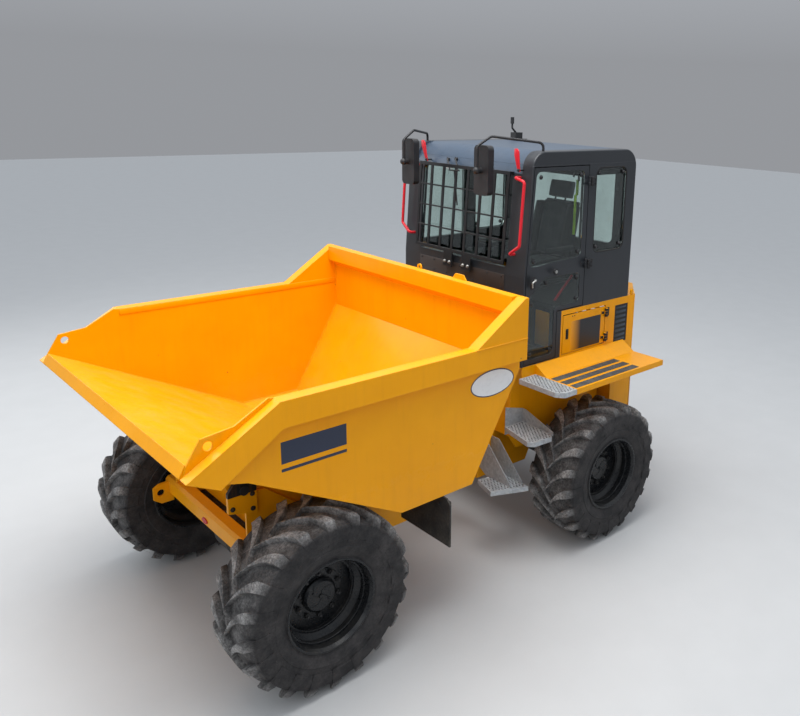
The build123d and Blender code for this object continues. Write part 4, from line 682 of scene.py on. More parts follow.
def make_wheel_trim(place):
    """Wheel nuts, valve, hub cover with its cast ribs, and the steps inside the rim."""
    centre, side = WHEELS[place]
    out, body = Y * side, f"wheel_{place}"
    bm = bmesh.new()
    for i in range(NUTS):
        foot = centre + out * DISC_OUT + spoke(tau * (i + 0.5) / NUTS) * NUT_CIRCLE
        for start, end, radius, sides, bevel in NUT_STEPS:
            add_rod(bm, foot + out * start, foot + out * end, radius, sides, bevel=bevel)
    valve = centre + X * VALVE_ALONG + Z * VALVE_UP + out * 0.02
    add_rod(bm, valve, valve + out * 0.04, 0.006, 12)
    finish_mesh(bm, f"wheel_nuts_{place}", body, "rim_paint", DARK_BOLT)
    bm = bmesh.new()
    face = centre + out * HUB_OUT
    for start in range(HUB_RIBS):
        curl = [
            face + spoke(tau * start / HUB_RIBS + RIB_STEP_TURN * step) * (RIB_START_R + RIB_STEP_R * step)
            for step in range(RIB_STEPS + 1)
        ]
        for low, high in zip(curl, curl[1:]):
            add_rod(bm, low, high, 0.0028, 8)
    add_rod(bm, face, face + out * 0.008, 0.015, 6, bevel=0.0015)
    for angle in HUB_PLUG_ANGLES:
        foot = face + spoke(angle) * HUB_PLUG_CIRCLE
        add_rod(bm, foot, foot + out * 0.006, 0.008, 6)
    finish_mesh(bm, f"hub_ribs_{place}", body, "rim_paint")
    bm = bmesh.new()
    for outer, inner, low, high in RIM_STEPS:
        chamfer = [(inner + 0.002, high), (inner, high - 0.002)]
        add_ring(bm, [(outer, low), (outer, high), *chamfer, (inner, low)])
    bmesh.ops.scale(bm, vec=(1, side, 1), verts=bm.verts)
    bmesh.ops.translate(bm, vec=centre, verts=bm.verts)
    finish_mesh(bm, f"rim_steps_{place}", body, "rim_paint")


# Anti-slip strips on the wings
STRIPS = ((0.905, 0.975), (1.005, 1.075), (1.105, 1.175))
STRIP_X = (-1.457, -0.672)
DECK_Z = 1.45


def make_strips():
    for side, name in SIDES:
        strips = [((STRIP_X[0], y0, DECK_Z), (STRIP_X[1], y1, DECK_Z + 0.0015)) for y0, y1 in STRIPS]
        box_piece(f"grit_strips_{name}", strips, "rear_frame", "rubber", GRIT, sides=(side,))


# Step trays: their plans on the left, and their tops
TRAYS = (
    (((-0.6575, 0.75), (-0.4775, 0.75), (-0.4775, 1.135), (-0.5275, 1.195), (-0.6575, 1.195)), 1.45),
    (((-0.4825, 0.61), (-0.4075, 0.93), (-0.4475, 0.975), (-0.6275, 0.985), (-0.6575, 0.95), (-0.6775, 0.61)),
     1.0),
    (((-0.2125, 0.74), (-0.5025, 0.87), (-0.5325, 0.56), (-0.2725, 0.52)), 0.57),
)
TOOTH_PITCH = 0.03
ROW_PITCH = TOOTH_PITCH * 0.7
TRAY_MARGIN = 0.014


def well_inside(outline, x, y):
    """True if the point is in the convex outline and the margin away from its edges."""
    gaps = []
    for (x0, y0), (x1, y1) in zip(outline, outline[1:] + outline[:1]):
        gaps.append(((x1 - x0) * (y - y0) - (y1 - y0) * (x - x0)) / sqrt((x1 - x0) ** 2 + (y1 - y0) ** 2))
    return min(gaps) > TRAY_MARGIN or max(gaps) < -TRAY_MARGIN


def make_step_grips():
    """Rows of raised teeth, and between them near-black discs: painted shade in the punched openings."""
    for side, name in SIDES:
        teeth, hole_shades = bmesh.new(), bmesh.new()
        for outline, top in TRAYS:
            xs, ys = zip(*outline)
            for row in range(int((max(ys) - min(ys)) / ROW_PITCH) + 1):
                y = min(ys) + row * ROW_PITCH
                for step in range(int((max(xs) - min(xs)) / TOOTH_PITCH) + 2):
                    x = min(xs) + (step - row % 2 / 2) * TOOTH_PITCH
                    spot = Vector((x, side * y, top))
                    if well_inside(outline, x, y):
                        add_rod(teeth, spot, spot + Z * 0.006, 0.0078, 6, end_radius=0.005)
                    # Painted shade of a punched opening: a thin near-black disc, with no real opening cut
                    if well_inside(outline, x + TOOTH_PITCH / 2, y):
                        spot += X * (TOOTH_PITCH / 2)
                        add_rod(hole_shades, spot, spot + Z * 0.0006, 0.0062, 8)
        finish_mesh(teeth, f"step_teeth_{name}", "rear_frame", "galvanised")
        finish_mesh(hole_shades, f"step_hole_shades_{name}", "rear_frame", "galvanised", HOLE_SHADE)


# Blank decals on the skip's sides
PANEL_X = (1.355, 1.769)
PANEL_BANDS = ((1.59, 1.72), (1.543, 1.561))
OVAL_X, OVAL_Z = 0.2015, 1.699
OVALS = (("skip_sticker", WHITE_DECAL, 0.19, 0.087, 0.0013),
         ("sticker_edge", NAVY_DECAL, 0.1985, 0.0955, 0.0007))


def add_oval(bm, centre, half_x, half_z, by):
    oval = bmesh.ops.create_circle(bm, cap_ends=True, segments=64, radius=1)["verts"]
    bmesh.ops.transform(bm, matrix=Matrix.Rotation(pi / 2, 4, "X"), verts=oval)
    bmesh.ops.scale(bm, vec=(half_x, 1, half_z), verts=oval)
    bmesh.ops.translate(bm, vec=centre, verts=oval)
    thicken(bm, faces_of(oval), by)


def make_decals():
    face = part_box("skip_sides")[1].y
    for side, name in SIDES:
        bands = [((PANEL_X[0], face, z0), (PANEL_X[1], face + 0.0008, z1)) for z0, z1 in PANEL_BANDS]
        box_piece(f"skip_panel_{name}", bands, "skip", "black_plastic", NAVY_DECAL, sides=(side,))
        for piece, film, half_x, half_z, thickness in OVALS:
            bm = bmesh.new()
            add_oval(bm, (OVAL_X, side * face, OVAL_Z), half_x, half_z, Y * side * thickness)
            finish_mesh(bm, f"{piece}_{name}", "skip", "black_plastic", film)


# Glazing: fixings by their x and z
CAB_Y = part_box("cab_frame")[1].y
DOOR_GLASS_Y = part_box("door_glass")[1].y
DOOR_FIXINGS = ((-0.64, 3.01), (-1.10, 3.01), (-1.10, 2.395), (-0.59, 2.372), (-1.10, 2.185), (-1.10, 2.01),
                (-0.74, 2.185), (-0.583, 2.035), (-0.583, 1.63), (-0.806, 1.63))
QUARTER_FIXINGS = ((-1.33, 3.015), (-1.64, 3.015), (-1.64, 2.41), (-1.33, 2.41))
QUARTER_GLASS_Y, SEAL_Y = 0.735, 0.745
SEAL_X, SEAL_Z, SEAL_CORNER = (-1.6825, -1.2875), (2.364, 3.06), 0.06


def rounded_loop(xs, zs, radius, y):
    """Closed loop of points round a rectangle with rounded corners, in the side plane at y."""
    (x0, x1), (z0, z1) = xs, zs
    corners = ((x1 - radius, z1 - radius), (x0 + radius, z1 - radius), (x0 + radius, z0 + radius),
               (x1 - radius, z0 + radius))
    loop = []
    for quarter, (x, z) in enumerate(corners):
        for step in range(7):
            a = (quarter + step / 6) * pi / 2
            loop.append((x + radius * cos(a), y, z + radius * sin(a)))
    return loop + loop[:1]


def make_glazing_trim():
    bm = bmesh.new()
    for x, z in DOOR_FIXINGS:
        add_knob(bm, (x, DOOR_GLASS_Y, z), Y, 0.017, 0.013)
    finish_mesh(bm, "door_glass_fixings", "cab_door", "black_plastic")
    bm = bmesh.new()
    for side, _ in SIDES:
        for x, z in QUARTER_FIXINGS:
            add_knob(bm, (x, side * QUARTER_GLASS_Y, z), Y * side, 0.017, 0.02)
    finish_mesh(bm, "quarter_glass_fixings", "rear_frame", "black_plastic")
    for side, name in SIDES:
        loop = rounded_loop(SEAL_X, SEAL_Z, SEAL_CORNER, side * SEAL_Y)
        tube(f"quarter_seal_{name}", loop, 0.007, "rear_frame", "rubber")


# Hinges of the doors on the left: heights, the pin's x, and the fixed leaf with its bolts, y from the face
Hinges = namedtuple("Hinges", "heights pin_x leaf_x leaf_y leaf_half bolt_x bolt_size")
DOOR_HINGES = Hinges((2.29, 2.96), -1.1955, (-1.252, -1.205), (0.001, 0.0075), 0.036, -1.235, 0.007)
SERVICE_HINGES = Hinges((1.605, 1.825), -1.4985, (-1.546, -1.506), (0, 0.0068), 0.038, -1.53, 0.006)
LEAF_BOLTS_Z = (-0.02, 0.02)
PIN_OUT = 0.014
SLEEVE_R, SLEEVE_HALF, SLEEVE_PITCH = 0.0142, 0.0118, 0.025


def add_hinges(fixed, moving, hinges, face):
    """Sleeves over the outer knuckles and over the middle one that moves, and the fixed leaves."""
    for z in hinges.heights:
        for bm, shift in ((fixed, -SLEEVE_PITCH), (fixed, SLEEVE_PITCH), (moving, 0)):
            knuckle = Vector((hinges.pin_x, face + PIN_OUT, z + shift))
            add_rod(bm, knuckle - Z * SLEEVE_HALF, knuckle + Z * SLEEVE_HALF, SLEEVE_R, 24, bevel=0.001)
        (x0, x1), (y0, y1), half = hinges.leaf_x, hinges.leaf_y, hinges.leaf_half
        add_box(fixed, (x0, face + y0, z - half), (x1, face + y1, z + half), bevel=0.002)
        for dz in LEAF_BOLTS_Z:
            add_bolt(fixed, (hinges.bolt_x, face + y1, z + dz), Y, hinges.bolt_size)


def make_door_furniture():
    """Lock, handle and hinges. The lock is round, and the handle's end sits on a pin in its plate."""
    lock, pin, elbow = (Vector((x, CAB_Y, z)) for x, z in ((-0.812, 2.272), (-0.578, 2.235), (-0.542, 2.218)))
    bm = bmesh.new()
    add_rod(bm, lock, lock + Y * 0.012, 0.026, 28, bevel=0.003)
    add_box(bm, (-0.59, CAB_Y, 2.165), (-0.53, CAB_Y + 0.008, 2.262), bevel=0.005)
    finish_mesh(bm, "door_lock_plates", "cab_door", "black_plastic", DARK_BOLT)
    bm = bmesh.new()
    grip = Y * 0.018
    add_rod(bm, lock + Y * 0.01, lock + Y * 0.015, 0.013, 20)
    add_rod(bm, pin + Y * 0.008, pin + Y * 0.02, 0.009, 14)
    add_rod(bm, pin + grip, elbow + grip, 0.0065, 12)
    add_rod(bm, elbow + grip + Z * 0.003, elbow + grip + Vector((-0.003, 0, -0.038)), 0.0065, 12)
    finish_mesh(bm, "door_latch", "cab_door", "black_plastic", ZINC_BOLT)
    fixed, moving = bmesh.new(), bmesh.new()
    add_hinges(fixed, moving, DOOR_HINGES, CAB_Y)
    finish_mesh(fixed, "door_hinge_covers", "rear_frame", "black_plastic", DARK_BOLT)
    finish_mesh(moving, "door_knuckle_sleeves", "cab_door", "black_plastic", DARK_BOLT)


# Front of the cab
WIPER_SHAFTS = ((-0.241, 3.078), (-0.139, 3.086))
WIPER_BARS = (((-0.505, -0.165, 2.995), (-0.505, -0.035, 3.0), 0.0055),
              ((-0.507, -0.10, 2.995), (-0.50, -0.05, 2.72), 0.006))
LEVER = ((-0.012, 0), (0.012, 0), (0.022, 0.09), (0.03, 0.15), (0.014, 0.172), (-0.016, 0.168),
         (-0.026, 0.12))                        # outline, y and z from the foot
LEVER_FOOT_Z = 3.046
LEVERS = ((0.642, -0.22), (-0.462, -0.35))      # y and lean of the left and the right one
CORNER_CAPS = ((-0.66, 3.15, 0.02), (-0.60, 3.105, 0.012), (-0.70, 3.175, 0.009))     # x, z and radius
CORNER_PLATE_Y = 0.6405
SCUTTLE_X, SCUTTLE_HALF_Y = -0.4945, 0.53
SCUTTLE_COLUMNS, SCUTTLE_SCREWS_Y, SCUTTLE_SCREWS_Z = 7, 0.5, (2.14, 2.228)
GUARD_BOLTS_Y, GUARD_BOLTS_Z = (0.085, 0.145), 2.25


def make_wiper_and_levers():
    bm = bmesh.new()
    for y, z in WIPER_SHAFTS:
        add_rod(bm, (-0.572, y, z - 0.004), (-0.55, y, z), 0.013, 16, bevel=0.003)
        add_rod(bm, (-0.552, y, z), (-0.505, y + 0.09, z - 0.085), 0.0055, 10)
    for start, end, radius in WIPER_BARS:
        add_rod(bm, start, end, radius, 10)
    finish_mesh(bm, "wiper", "rear_frame", "black_plastic", DARK_BOLT)
    for (side, name), (pivot_y, lean) in zip(SIDES, LEVERS):
        bm = bmesh.new()
        foot = Vector((-0.515, pivot_y, LEVER_FOOT_Z))
        flat = bm.faces.new([bm.verts.new(foot + Y * (y + z * lean) + Z * z) for y, z in LEVER])
        grown = thicken(bm, [flat], X * 0.007)
        front = next(f for f in grown if isinstance(f, bmesh.types.BMFace))
        bevel_edges(bm, front.edges, 0.002)
        finish_mesh(bm, f"guard_lever_{name}", "rear_frame", "red_paint")
        bm = bmesh.new()
        pivot = Vector((-0.507, pivot_y, LEVER_FOOT_Z + 0.012))
        add_bolt(bm, pivot, X, 0.009)
        add_rod(bm, pivot - X * 0.053, pivot, 0.007, 12)
        for x, z, radius in CORNER_CAPS:
            foot = Vector((x, side * CORNER_PLATE_Y, z))
            add_rod(bm, foot, foot - Y * side * 0.004, radius, 20)
        finish_mesh(bm, f"corner_plate_fittings_{name}", "rear_frame", "black_plastic", DARK_BOLT)


def make_front_fittings():
    """Plate with its screws below the windscreen, and the guard's bracket bolts."""
    plate = ((SCUTTLE_X - 0.003, -SCUTTLE_HALF_Y, 2.12), (SCUTTLE_X, SCUTTLE_HALF_Y, 2.245))
    box_piece("scuttle_plate", [plate], "rear_frame", "cab_paint", BROWN_PLATE, bevel=0.0015)
    bm = bmesh.new()
    for i in range(SCUTTLE_COLUMNS):
        y = SCUTTLE_SCREWS_Y * (2 * i / (SCUTTLE_COLUMNS - 1) - 1)
        for z in SCUTTLE_SCREWS_Z:
            add_bolt(bm, (SCUTTLE_X, y, z), X, 0.006, washer=False)
    finish_mesh(bm, "scuttle_screws", "rear_frame", "cab_paint", DARK_BOLT)
    bm = bmesh.new()
    plate_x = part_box("screen_guard")[1].x - 0.002
    for side, _ in SIDES:
        for y in GUARD_BOLTS_Y:
            add_bolt(bm, (plate_x, side * y, GUARD_BOLTS_Z), X, 0.011)
    finish_mesh(bm, "guard_bracket_bolts", "rear_frame", "black_steel", ZINC_BOLT)


MIRROR_BACK_X, MIRROR_Y, MIRROR_Z = -0.359, 0.449, 3.049
MIRROR_HALF_W, MIRROR_HALF_H = 0.068, 0.17


def make_mirror_fittings():
    glass = ((MIRROR_BACK_X - 0.0015, MIRROR_Y - MIRROR_HALF_W, MIRROR_Z - MIRROR_HALF_H),
             (MIRROR_BACK_X, MIRROR_Y + MIRROR_HALF_W, MIRROR_Z + MIRROR_HALF_H))
    box_piece("mirror_glasses", [glass], "rear_frame", "glass", MIRROR_GLASS, sides=(1, -1))
    joint_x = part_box("mirrors")[1].x - 0.008
    bm = bmesh.new()
    for side, _ in SIDES:
        add_ball(bm, (joint_x, side * MIRROR_Y, MIRROR_Z), 0.027, 20, 12)
    finish_mesh(bm, "mirror_joints", "rear_frame", "black_plastic")


# Seat: cushion, back and headrest by centre, size, sewn channels and lean, then the left bolsters
BACK_LEAN = radians(12)
PADS = (
    ((-1.40, 0, 2.135), (0.50, 0.31, 0.12), 3, 0),
    ((-1.62, 0, 2.45), (0.52, 0.31, 0.10), 3, BACK_LEAN),
    ((-1.705, 0, 2.795), (0.16, 0.26, 0.10), 0, BACK_LEAN),
)
BOLSTERS = (
    ((-1.40, 0.195, 2.145), (0.50, 0.095, 0.13), 0),
    ((-1.61, 0.195, 2.44), (0.50, 0.09, 0.12), BACK_LEAN),
)
SEAT_PLATE = ((-1.66, -0.22, 1.972), (-1.16, 0.22, 2.0))
BACK_SHELL = ((-1.665, 0, 2.40), (0.035, 0.40, 0.60))           # centre and size
HEADREST_POST = ((-1.675, 2.66), (-1.70, 2.76))                 # its ends, x and z
HEADREST_POSTS_Y = (-0.06, 0.06)
ARMREST_Y, ARMREST_HALF = 0.262, 0.015
GAITER_FOLDS, GAITER_FOOT_Z, FOLD_H, FOLD_DEPTH = 4, 2.0, 0.02, 0.012


def add_slab(bm, centre, size, bevel, tilt=0.0):
    """Rounded block, leaned back by the tilt about its middle."""
    half = Vector(size) / 2
    verts = add_box(bm, -half, half, bevel, segments=4)
    bmesh.ops.transform(bm, matrix=Matrix.Translation(centre) @ Matrix.Rotation(-tilt, 4, "Y"), verts=verts)


def on_ball(co):
    """Point of a cube of half width 1, carried to the ball in it."""
    x, y, z = (c * c for c in co)
    return Vector((co.x * sqrt(1 - y / 2 - z / 2 + y * z / 3), co.y * sqrt(1 - z / 2 - x / 2 + z * x / 3),
                   co.z * sqrt(1 - x / 2 - y / 2 + x * y / 3)))


def add_pad(bm, centre, size, channels=0, tilt=0.0):
    """Stuffed pad: a rounded block whose sides pull in between its corners, crowned, with sewn channels."""
    pad = bmesh.new()
    bmesh.ops.create_cube(pad, size=2)
    bmesh.ops.subdivide_edges(pad, edges=pad.edges[:], cuts=17, use_grid_fill=True)
    half = Vector(size) / 2
    seams = [(i + 1) / (channels + 1) * 2 - 1 for i in range(channels)]
    for v in pad.verts:
        u, w, _ = v.co
        soft = v.co.lerp(on_ball(v.co), 0.22)
        pinch_x, pinch_y = 1 - 0.035 * (1 - w * w), 1 - 0.045 * (1 - u * u)
        crown = 1 - 0.3 * (u * u + w * w) / 2
        sewn = max([0.0] + [1 - abs(u - seam) / 0.12 for seam in seams])
        v.co = (soft.x * half.x * pinch_x, soft.y * half.y * pinch_y,
                soft.z * half.z * (crown - 0.16 * sewn * (1 - w ** 4)))
    lean = Matrix.Rotation(pi / 2 - tilt, 4, "Y") if tilt else Matrix.Identity(4)
    bmesh.ops.transform(pad, matrix=Matrix.Translation(centre) @ lean, verts=pad.verts)
    mesh = bpy.data.meshes.new("pad")
    pad.to_mesh(mesh)
    pad.free()
    bm.from_mesh(mesh)
    bpy.data.meshes.remove(mesh)


def make_seat():
    bm = bmesh.new()
    for centre, size, channels, tilt in PADS:
        add_pad(bm, centre, size, channels, tilt)
    pads = finish_mesh(bm, "seat_pads", "rear_frame", "seat_fabric", sharp=radians(60))
    bm = bmesh.new()
    for side, _ in SIDES:
        for (x, y, z), size, tilt in BOLSTERS:
            add_pad(bm, (x, side * y, z), size, tilt=tilt)
    bolsters = finish_mesh(bm, "seat_bolsters", "rear_frame", "seat_fabric", SEAT_TRIM, radians(60))
    bm = bmesh.new()
    add_box(bm, *SEAT_PLATE, bevel=0.006)
    for fold in range(GAITER_FOLDS):
        inset, z = FOLD_DEPTH * (fold % 2), GAITER_FOOT_Z + fold * FOLD_H
        add_box(bm, (-1.62 + inset, -0.19 + inset, z), (-1.19 - inset, 0.19 - inset, z + FOLD_H), bevel=0.006)
    add_slab(bm, *BACK_SHELL, bevel=0.015, tilt=BACK_LEAN)
    (x0, z0), (x1, z1) = HEADREST_POST
    for y in HEADREST_POSTS_Y:
        add_rod(bm, (x0, y, z0), (x1, y, z1), 0.008, 12)
    for side, _ in SIDES:
        add_slab(bm, (-1.42, side * ARMREST_Y, 2.30), (0.34, 0.05, 0.05), 0.02)
        y0, y1 = ARMREST_Y - ARMREST_HALF, ARMREST_Y + ARMREST_HALF
        add_side_box(bm, side, (-1.60, y0, 2.10), (-1.55, y1, 2.29), 0.006)
    shell = finish_mesh(bm, "seat_frame", "rear_frame", "seat_fabric", SEAT_TRIM)
    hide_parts("seat")


# Inside the cab: the dash by low and high corners and bevel, lever feet by x and y, and routes
DASH = (
    ((-0.585, -0.66, 1.98), (-0.545, 0.66, 2.22), 0.012),
    ((-0.64, -0.17, 2.02), (-0.575, 0.17, 2.20), 0.015),
)
LOCKER = (
    ((-1.0, 0.50, 1.60), (-0.885, 0.66, 1.90), 0.012),
    ((-0.985, 0.52, 1.90), (-0.90, 0.64, 1.93), 0.006),
)
DISPLAY = ((-0.60, 0, 2.24), (0.12, 0.42, 0.15))                # centre and size
SWITCHES, SWITCH_PITCH = 5, 0.06
LEVER_FEET, LEVER_Z = ((-1.05, -0.30), (-1.12, -0.36)), (2.16, 2.36)
RED_LEVER = ((-1.235, 0.58, 2.15), (-1.08, 0.585, 2.02), (-0.93, 0.59, 1.88))
STRAP = ((-1.165, 0.665, 2.96), (-1.150, 0.655, 2.84), (-1.142, 0.655, 2.70), (-1.137, 0.665, 2.52))
STRAP_LOOP = ((-1.165, 0.665, 2.95), (-1.168, 0.662, 3.0), (-1.12, 0.66, 3.02), (-1.10, 0.665, 2.99))
LINING = ((-1.75, -0.62, 2.98), (-1.25, 0.62, 3.03))


def make_cab_interior():
    bm = bmesh.new()
    add_slab(bm, *DISPLAY, bevel=0.03, tilt=radians(-20))
    for low, high, bevel in DASH:
        add_box(bm, low, high, bevel)
    for i in range(SWITCHES):
        switch = Vector((-0.655, (i - (SWITCHES - 1) / 2) * SWITCH_PITCH, 2.222))
        add_rod(bm, switch, switch + Vector((-0.013, 0, 0.013)), 0.012, 14)
    finish_mesh(bm, "dash", "rear_frame", "black_plastic")
    bm = bmesh.new()
    z0, z1 = LEVER_Z
    for x, y in LEVER_FEET:
        add_rod(bm, (x, y, z0), (x + 0.03, y, z1), 0.007, 12)
        add_ball(bm, (x + 0.033, y, z1 + 0.015), 0.02, 14, 10)
    finish_mesh(bm, "console_levers", "rear_frame", "black_plastic")
    tube("red_lever", RED_LEVER, 0.011, "rear_frame", "red_paint", round_corners=0.04)
    bm = bmesh.new()
    for low, high in zip(STRAP[1:], STRAP):
        low, high = Vector(low), Vector(high)
        add_slab(bm, (low + high) / 2, (0.028, 0.006, (high - low).length + 0.004), 0.002)
    finish_mesh(bm, "hi_vis_strap", "rear_frame", "seat_fabric", HI_VIS)
    tube("strap_loop", STRAP_LOOP, 0.009, "rear_frame", "rubber", round_corners=0.04)
    bm = bmesh.new()
    for low, high, bevel in LOCKER:
        add_box(bm, low, high, bevel)
    finish_mesh(bm, "cab_locker", "rear_frame", "paint_yellow")
    box_piece("roof_lining", [LINING], "rear_frame", "seat_fabric", SEAT_TRIM, bevel=0.015)


# Engine bay sides
BAY_FACE_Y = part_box("bay_sides")[1].y - 0.028
MOVING_LEAF_X, MOVING_LEAF_HALF, LEAF_T = (-1.4835, -1.451), 0.0115, 0.0068
LATCH = (                   # the latch's cup and its paddle, with y from the door's face
    ((-1.0335, -0.009, 1.672), (-1.0015, 0.002, 1.758)),
    ((-1.026, 0.002, 1.70), (-1.009, 0.008, 1.75)),
)
LATCH_SCREWS_X, LATCH_SCREWS_Z = (-1.075, -1.10), 1.86
LOUVRE_MESH_Y, MESH_INSET = 0.7455, 0.004


def make_service_door_trim():
    """Hinges, latch and shaded decal of the service door, and the mesh behind each louvre."""
    face = BAY_FACE_Y
    fixed, moving = bmesh.new(), bmesh.new()
    add_hinges(fixed, moving, SERVICE_HINGES, face)
    finish_mesh(fixed, "service_hinge_covers", "rear_frame", "black_plastic", DARK_BOLT)
    x0, x1 = MOVING_LEAF_X
    for z in SERVICE_HINGES.heights:
        low, high = (x0, face, z - MOVING_LEAF_HALF), (x1, face + LEAF_T, z + MOVING_LEAF_HALF)
        add_box(moving, low, high, bevel=0.002)
    for low, high in LATCH:
        add_box(moving, Vector(low) + Y * face, Vector(high) + Y * face, bevel=0.003)
    for x in LATCH_SCREWS_X:
        add_bolt(moving, (x, face, LATCH_SCREWS_Z), Y, 0.0045, washer=False)
    finish_mesh(moving, "service_latch", "service_door", "black_plastic", DARK_BOLT)
    film = ((-1.44, face, 1.562), (-1.055, face + 0.0008, 1.815))
    box_piece("service_decal", [film], "service_door", "black_plastic", SHADED_DECAL)
    tab = ((-1.875, face - 0.012, 1.925), (-1.845, face, 1.975))
    box_piece("body_tab", [tab], "rear_frame", "paint_yellow", bevel=0.002)
    low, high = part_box("louvres")
    mesh = ((low.x + MESH_INSET, LOUVRE_MESH_Y - 0.0015, low.z + MESH_INSET),
            (high.x - MESH_INSET, LOUVRE_MESH_Y + 0.0015, high.z - MESH_INSET))
    for side, name in SIDES:
        box_piece(f"louvre_mesh_{name}", [mesh], "rear_frame", "black_steel", LOUVRE_MESH, sides=(side,))


# Lamps in the counterweight's rear face, with their inner and outer y
LAMPS = (("tail", RED_REFLECTOR, 0.30, 0.36), ("turn", AMBER_LENS, 0.362, 0.392),
         ("reverse", CLEAR_LENS, 0.268, 0.298))
LAMP_Z = (1.085, 1.155)
REFLECTOR = (FRONT_AXLE + 0.24, -0.03, 0.722)
REFLECTOR_W, REFLECTOR_H = 0.082, 0.042


def make_lamps():
    """Reflector on the front beam, and lamp clusters on the counterweight."""
    bm = bmesh.new()
    lens = add_rod(bm, (0, 0, 0), X * 0.008, 0.5, 40, end_radius=0.46)
    flatten = Matrix.Diagonal((1, REFLECTOR_W, REFLECTOR_H, 1))
    bmesh.ops.transform(bm, matrix=Matrix.Translation(REFLECTOR) @ flatten, verts=lens)
    finish_mesh(bm, "front_reflector", "front_frame", "red_paint", RED_REFLECTOR)
    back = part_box("counterweight")[0].x
    z0, z1 = LAMP_Z
    for name, glow, y0, y1 in LAMPS:
        lamp = ((back - 0.009, y0, z0), (back + 0.006, y1, z1))
        box_piece(f"{name}_lamps", [lamp], "rear_frame", "red_paint", glow, bevel=0.003, sides=(1, -1))
    housing = ((back - 0.005, 0.26, z0 - 0.01), (back + 0.01, 0.40, z1 + 0.01))
    box_piece("lamp_housings", [housing], "rear_frame", "black_plastic", bevel=0.003, sides=(1, -1))


# Front frame: bolts by their x from the front axle and z, the skip's pin, and the mud flaps' bolts
LUG_BOLTS = ((0.185, 1.05), (0.315, 1.085), (0.185, 1.15))
LUG_FACE_Y = 0.585
PIN_X, PIN_Z = 0.24, 1.19
FLAP_BOLTS_Y, FLAP_BOLTS_Z = (0.62, 0.75, 0.88, 1.02, 1.12), 0.925


def make_pivot_bolts():
    pin_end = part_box("skip_pivots")[1].y
    flap_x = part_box("mud_flaps")[1].x
    pivots, flaps = bmesh.new(), bmesh.new()
    for side, _ in SIDES:
        for x, z in LUG_BOLTS:
            add_bolt(pivots, (FRONT_AXLE + x, side * LUG_FACE_Y, z), Y * side, 0.012)
        pin = Vector((FRONT_AXLE + PIN_X, side * pin_end, PIN_Z))
        add_rod(pivots, pin, pin + Y * side * 0.004, 0.03, 24)
        for y in FLAP_BOLTS_Y:
            add_bolt(flaps, (flap_x, side * y, FLAP_BOLTS_Z), X, 0.009)
    finish_mesh(pivots, "pivot_bolts", "front_frame", "black_steel", DARK_BOLT)
    finish_mesh(flaps, "flap_bolts", "front_frame", "rubber", DARK_BOLT)


# Steel pipes. A ram's pipe is given along the ram and out from it, a frame's by x from the axle, y and z
RAM_Y = 0.30
RAM_FOOT, RAM_TOP = (-0.30, 0.55), (-0.05, 1.15)
RAM_PIPE = ((0.12, 0.055), (0.12, 0.085), (0.46, 0.085), (0.46, 0.055))
FRAME_PIPE = ((-0.46, 0.34, 0.62), (-0.44, 0.35, 0.60), (-0.25, 0.50, 0.62), (0.04, 0.50, 0.70),
              (0.058, 0.48, 0.85))


def make_pipes():
    """Steel pipes along the tipping cylinders and the front frame."""
    for side, name in SIDES:
        foot, top = (Vector((FRONT_AXLE + x, side * RAM_Y, z)) for x, z in (RAM_FOOT, RAM_TOP))
        along = (top - foot).normalized()
        out = along.cross(Y)
        route = [foot + along * a + out * b for a, b in RAM_PIPE]
        tube(f"ram_pipe_{name}", route, 0.007, "tip_barrels", "chrome_rod", ZINC_BOLT, round_corners=0.02)
        route = [(FRONT_AXLE + x, side * y, z) for x, y, z in FRAME_PIPE]
        tube(f"frame_pipe_{name}", route, 0.009, "front_frame", "black_steel", round_corners=0.05)


# Weld beads of the skip, by x and z
FLOOR_WELD = ((-0.035, 1.745), (0.3825, 1.022), (0.8845, 1.022), (2.275, 1.738))
RIM_WELD = ((-0.045, 1.829), (1.7825, 1.829))
GUSSET_WELD = ((-0.046, 1.985), (0.4175, 1.985))
REAR_WELD = ((-0.034, 1.745), (-0.034, 2.10))


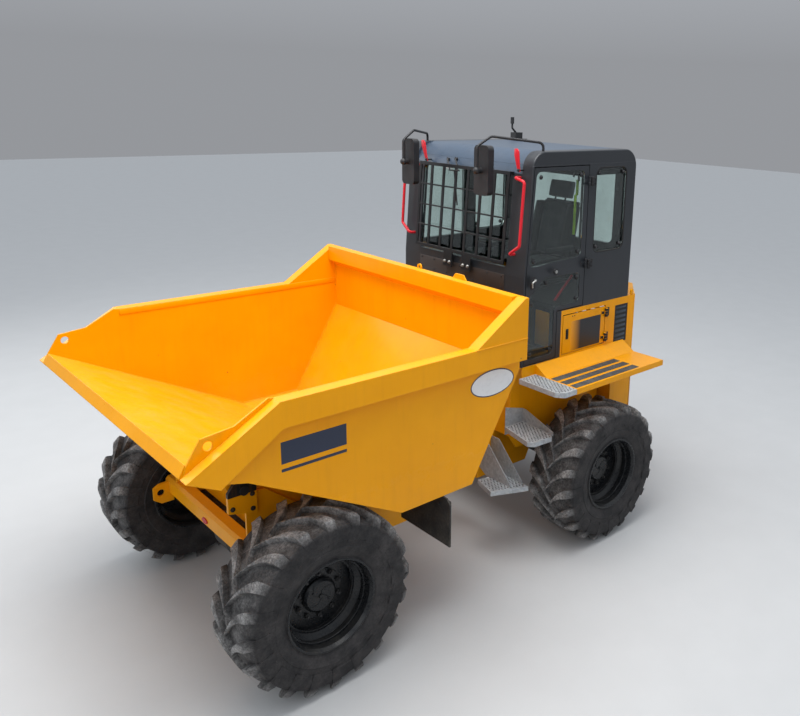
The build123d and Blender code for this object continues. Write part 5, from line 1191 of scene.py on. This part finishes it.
def make_welds():
    """Weld beads of the skip, and the lapped strips inside its top edges."""
    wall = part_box("skip_floor")[1].y
    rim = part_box("skip_sides")[1].y + 0.001
    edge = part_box("skip_rims")[1].y
    strip = ((-0.03, wall - 0.005, 1.94), (1.79, wall + 0.002, 1.984))

    def bead(name, route, y, radius):
        tube(name, [(x, y, z) for x, z in route], radius, "skip", "paint_yellow", SKIP_PAINT)

    for side, name in SIDES:
        bead(f"floor_weld_{name}", FLOOR_WELD, side * (wall - 0.001), 0.0045)
        bead(f"rim_weld_{name}", RIM_WELD, side * rim, 0.004)
        bead(f"gusset_weld_{name}", GUSSET_WELD, side * edge, 0.005)
        box_piece(f"lap_strip_{name}", [strip], "skip", "paint_yellow", SKIP_PAINT, 0.0015, (side,))
        bead(f"rear_weld_{name}", REAR_WELD, side * (wall - 0.001), 0.0045)


# Stage
def make_stage():
    bm = bmesh.new()
    bmesh.ops.create_grid(bm, x_segments=1, y_segments=1, size=40)
    mesh = bpy.data.meshes.new("floor")
    bm.to_mesh(mesh)
    bm.free()
    paper = Finish("floor_finish", Roughness=0.9)
    tone = paper.mix(paper.noise(3, 4), (0.5, 0.5, 0.495), (0.54, 0.54, 0.535))
    paper.feed(paper.shader.inputs["Base Color"], tone)
    mesh.materials.append(paper.material)
    add_object("floor", mesh)


# Name, place, target, size and power
LIGHTS = (
    ("overhead", (1.0, 0.5, 7.5), (0, 0, 1), 6.0, 560),
    ("left_front", (6.0, 5.0, 4.5), (0, 0, 1.2), 4.0, 45),
    ("right", (3.0, -7.0, 5.0), (0, 0, 1.4), 4.0, 120),
)
HORIZON, ZENITH = (0.30, 0.31, 0.33), (0.80, 0.86, 0.94)


def light_scene():
    world = bpy.data.worlds.new("sky")
    bpy.context.scene.world = world
    world.use_nodes = True
    sky = Shading(world.node_tree)
    height = sky.span(sky.axis(sky.node("TexCoord").outputs["Generated"], "Z"), 0.05, 0.7)
    sky.feed(sky.tree.nodes["Background"].inputs["Color"], sky.mix(height, HORIZON, ZENITH))
    for name, place, target, size, power in LIGHTS:
        data = bpy.data.lights.new(name, "AREA")
        data.shape = "DISK"
        data.size = size
        data.energy = power
        lamp = add_object(name, data)
        lamp.location = place
        lamp.rotation_euler = (Vector(target) - Vector(place)).to_track_quat("-Z", "Y").to_euler()


make_camera()
dress_cad_nodes()
for wheel_place in WHEELS:
    make_tyre(wheel_place)
    make_wheel_trim(wheel_place)
make_strips()
make_step_grips()
make_decals()
make_glazing_trim()
make_door_furniture()
make_wiper_and_levers()
make_front_fittings()
make_mirror_fittings()
make_seat()
make_cab_interior()
make_service_door_trim()
make_lamps()
make_pivot_bolts()
make_pipes()
make_welds()
make_stage()
light_scene()

bpy.context.scene.view_settings.view_transform = "Standard"
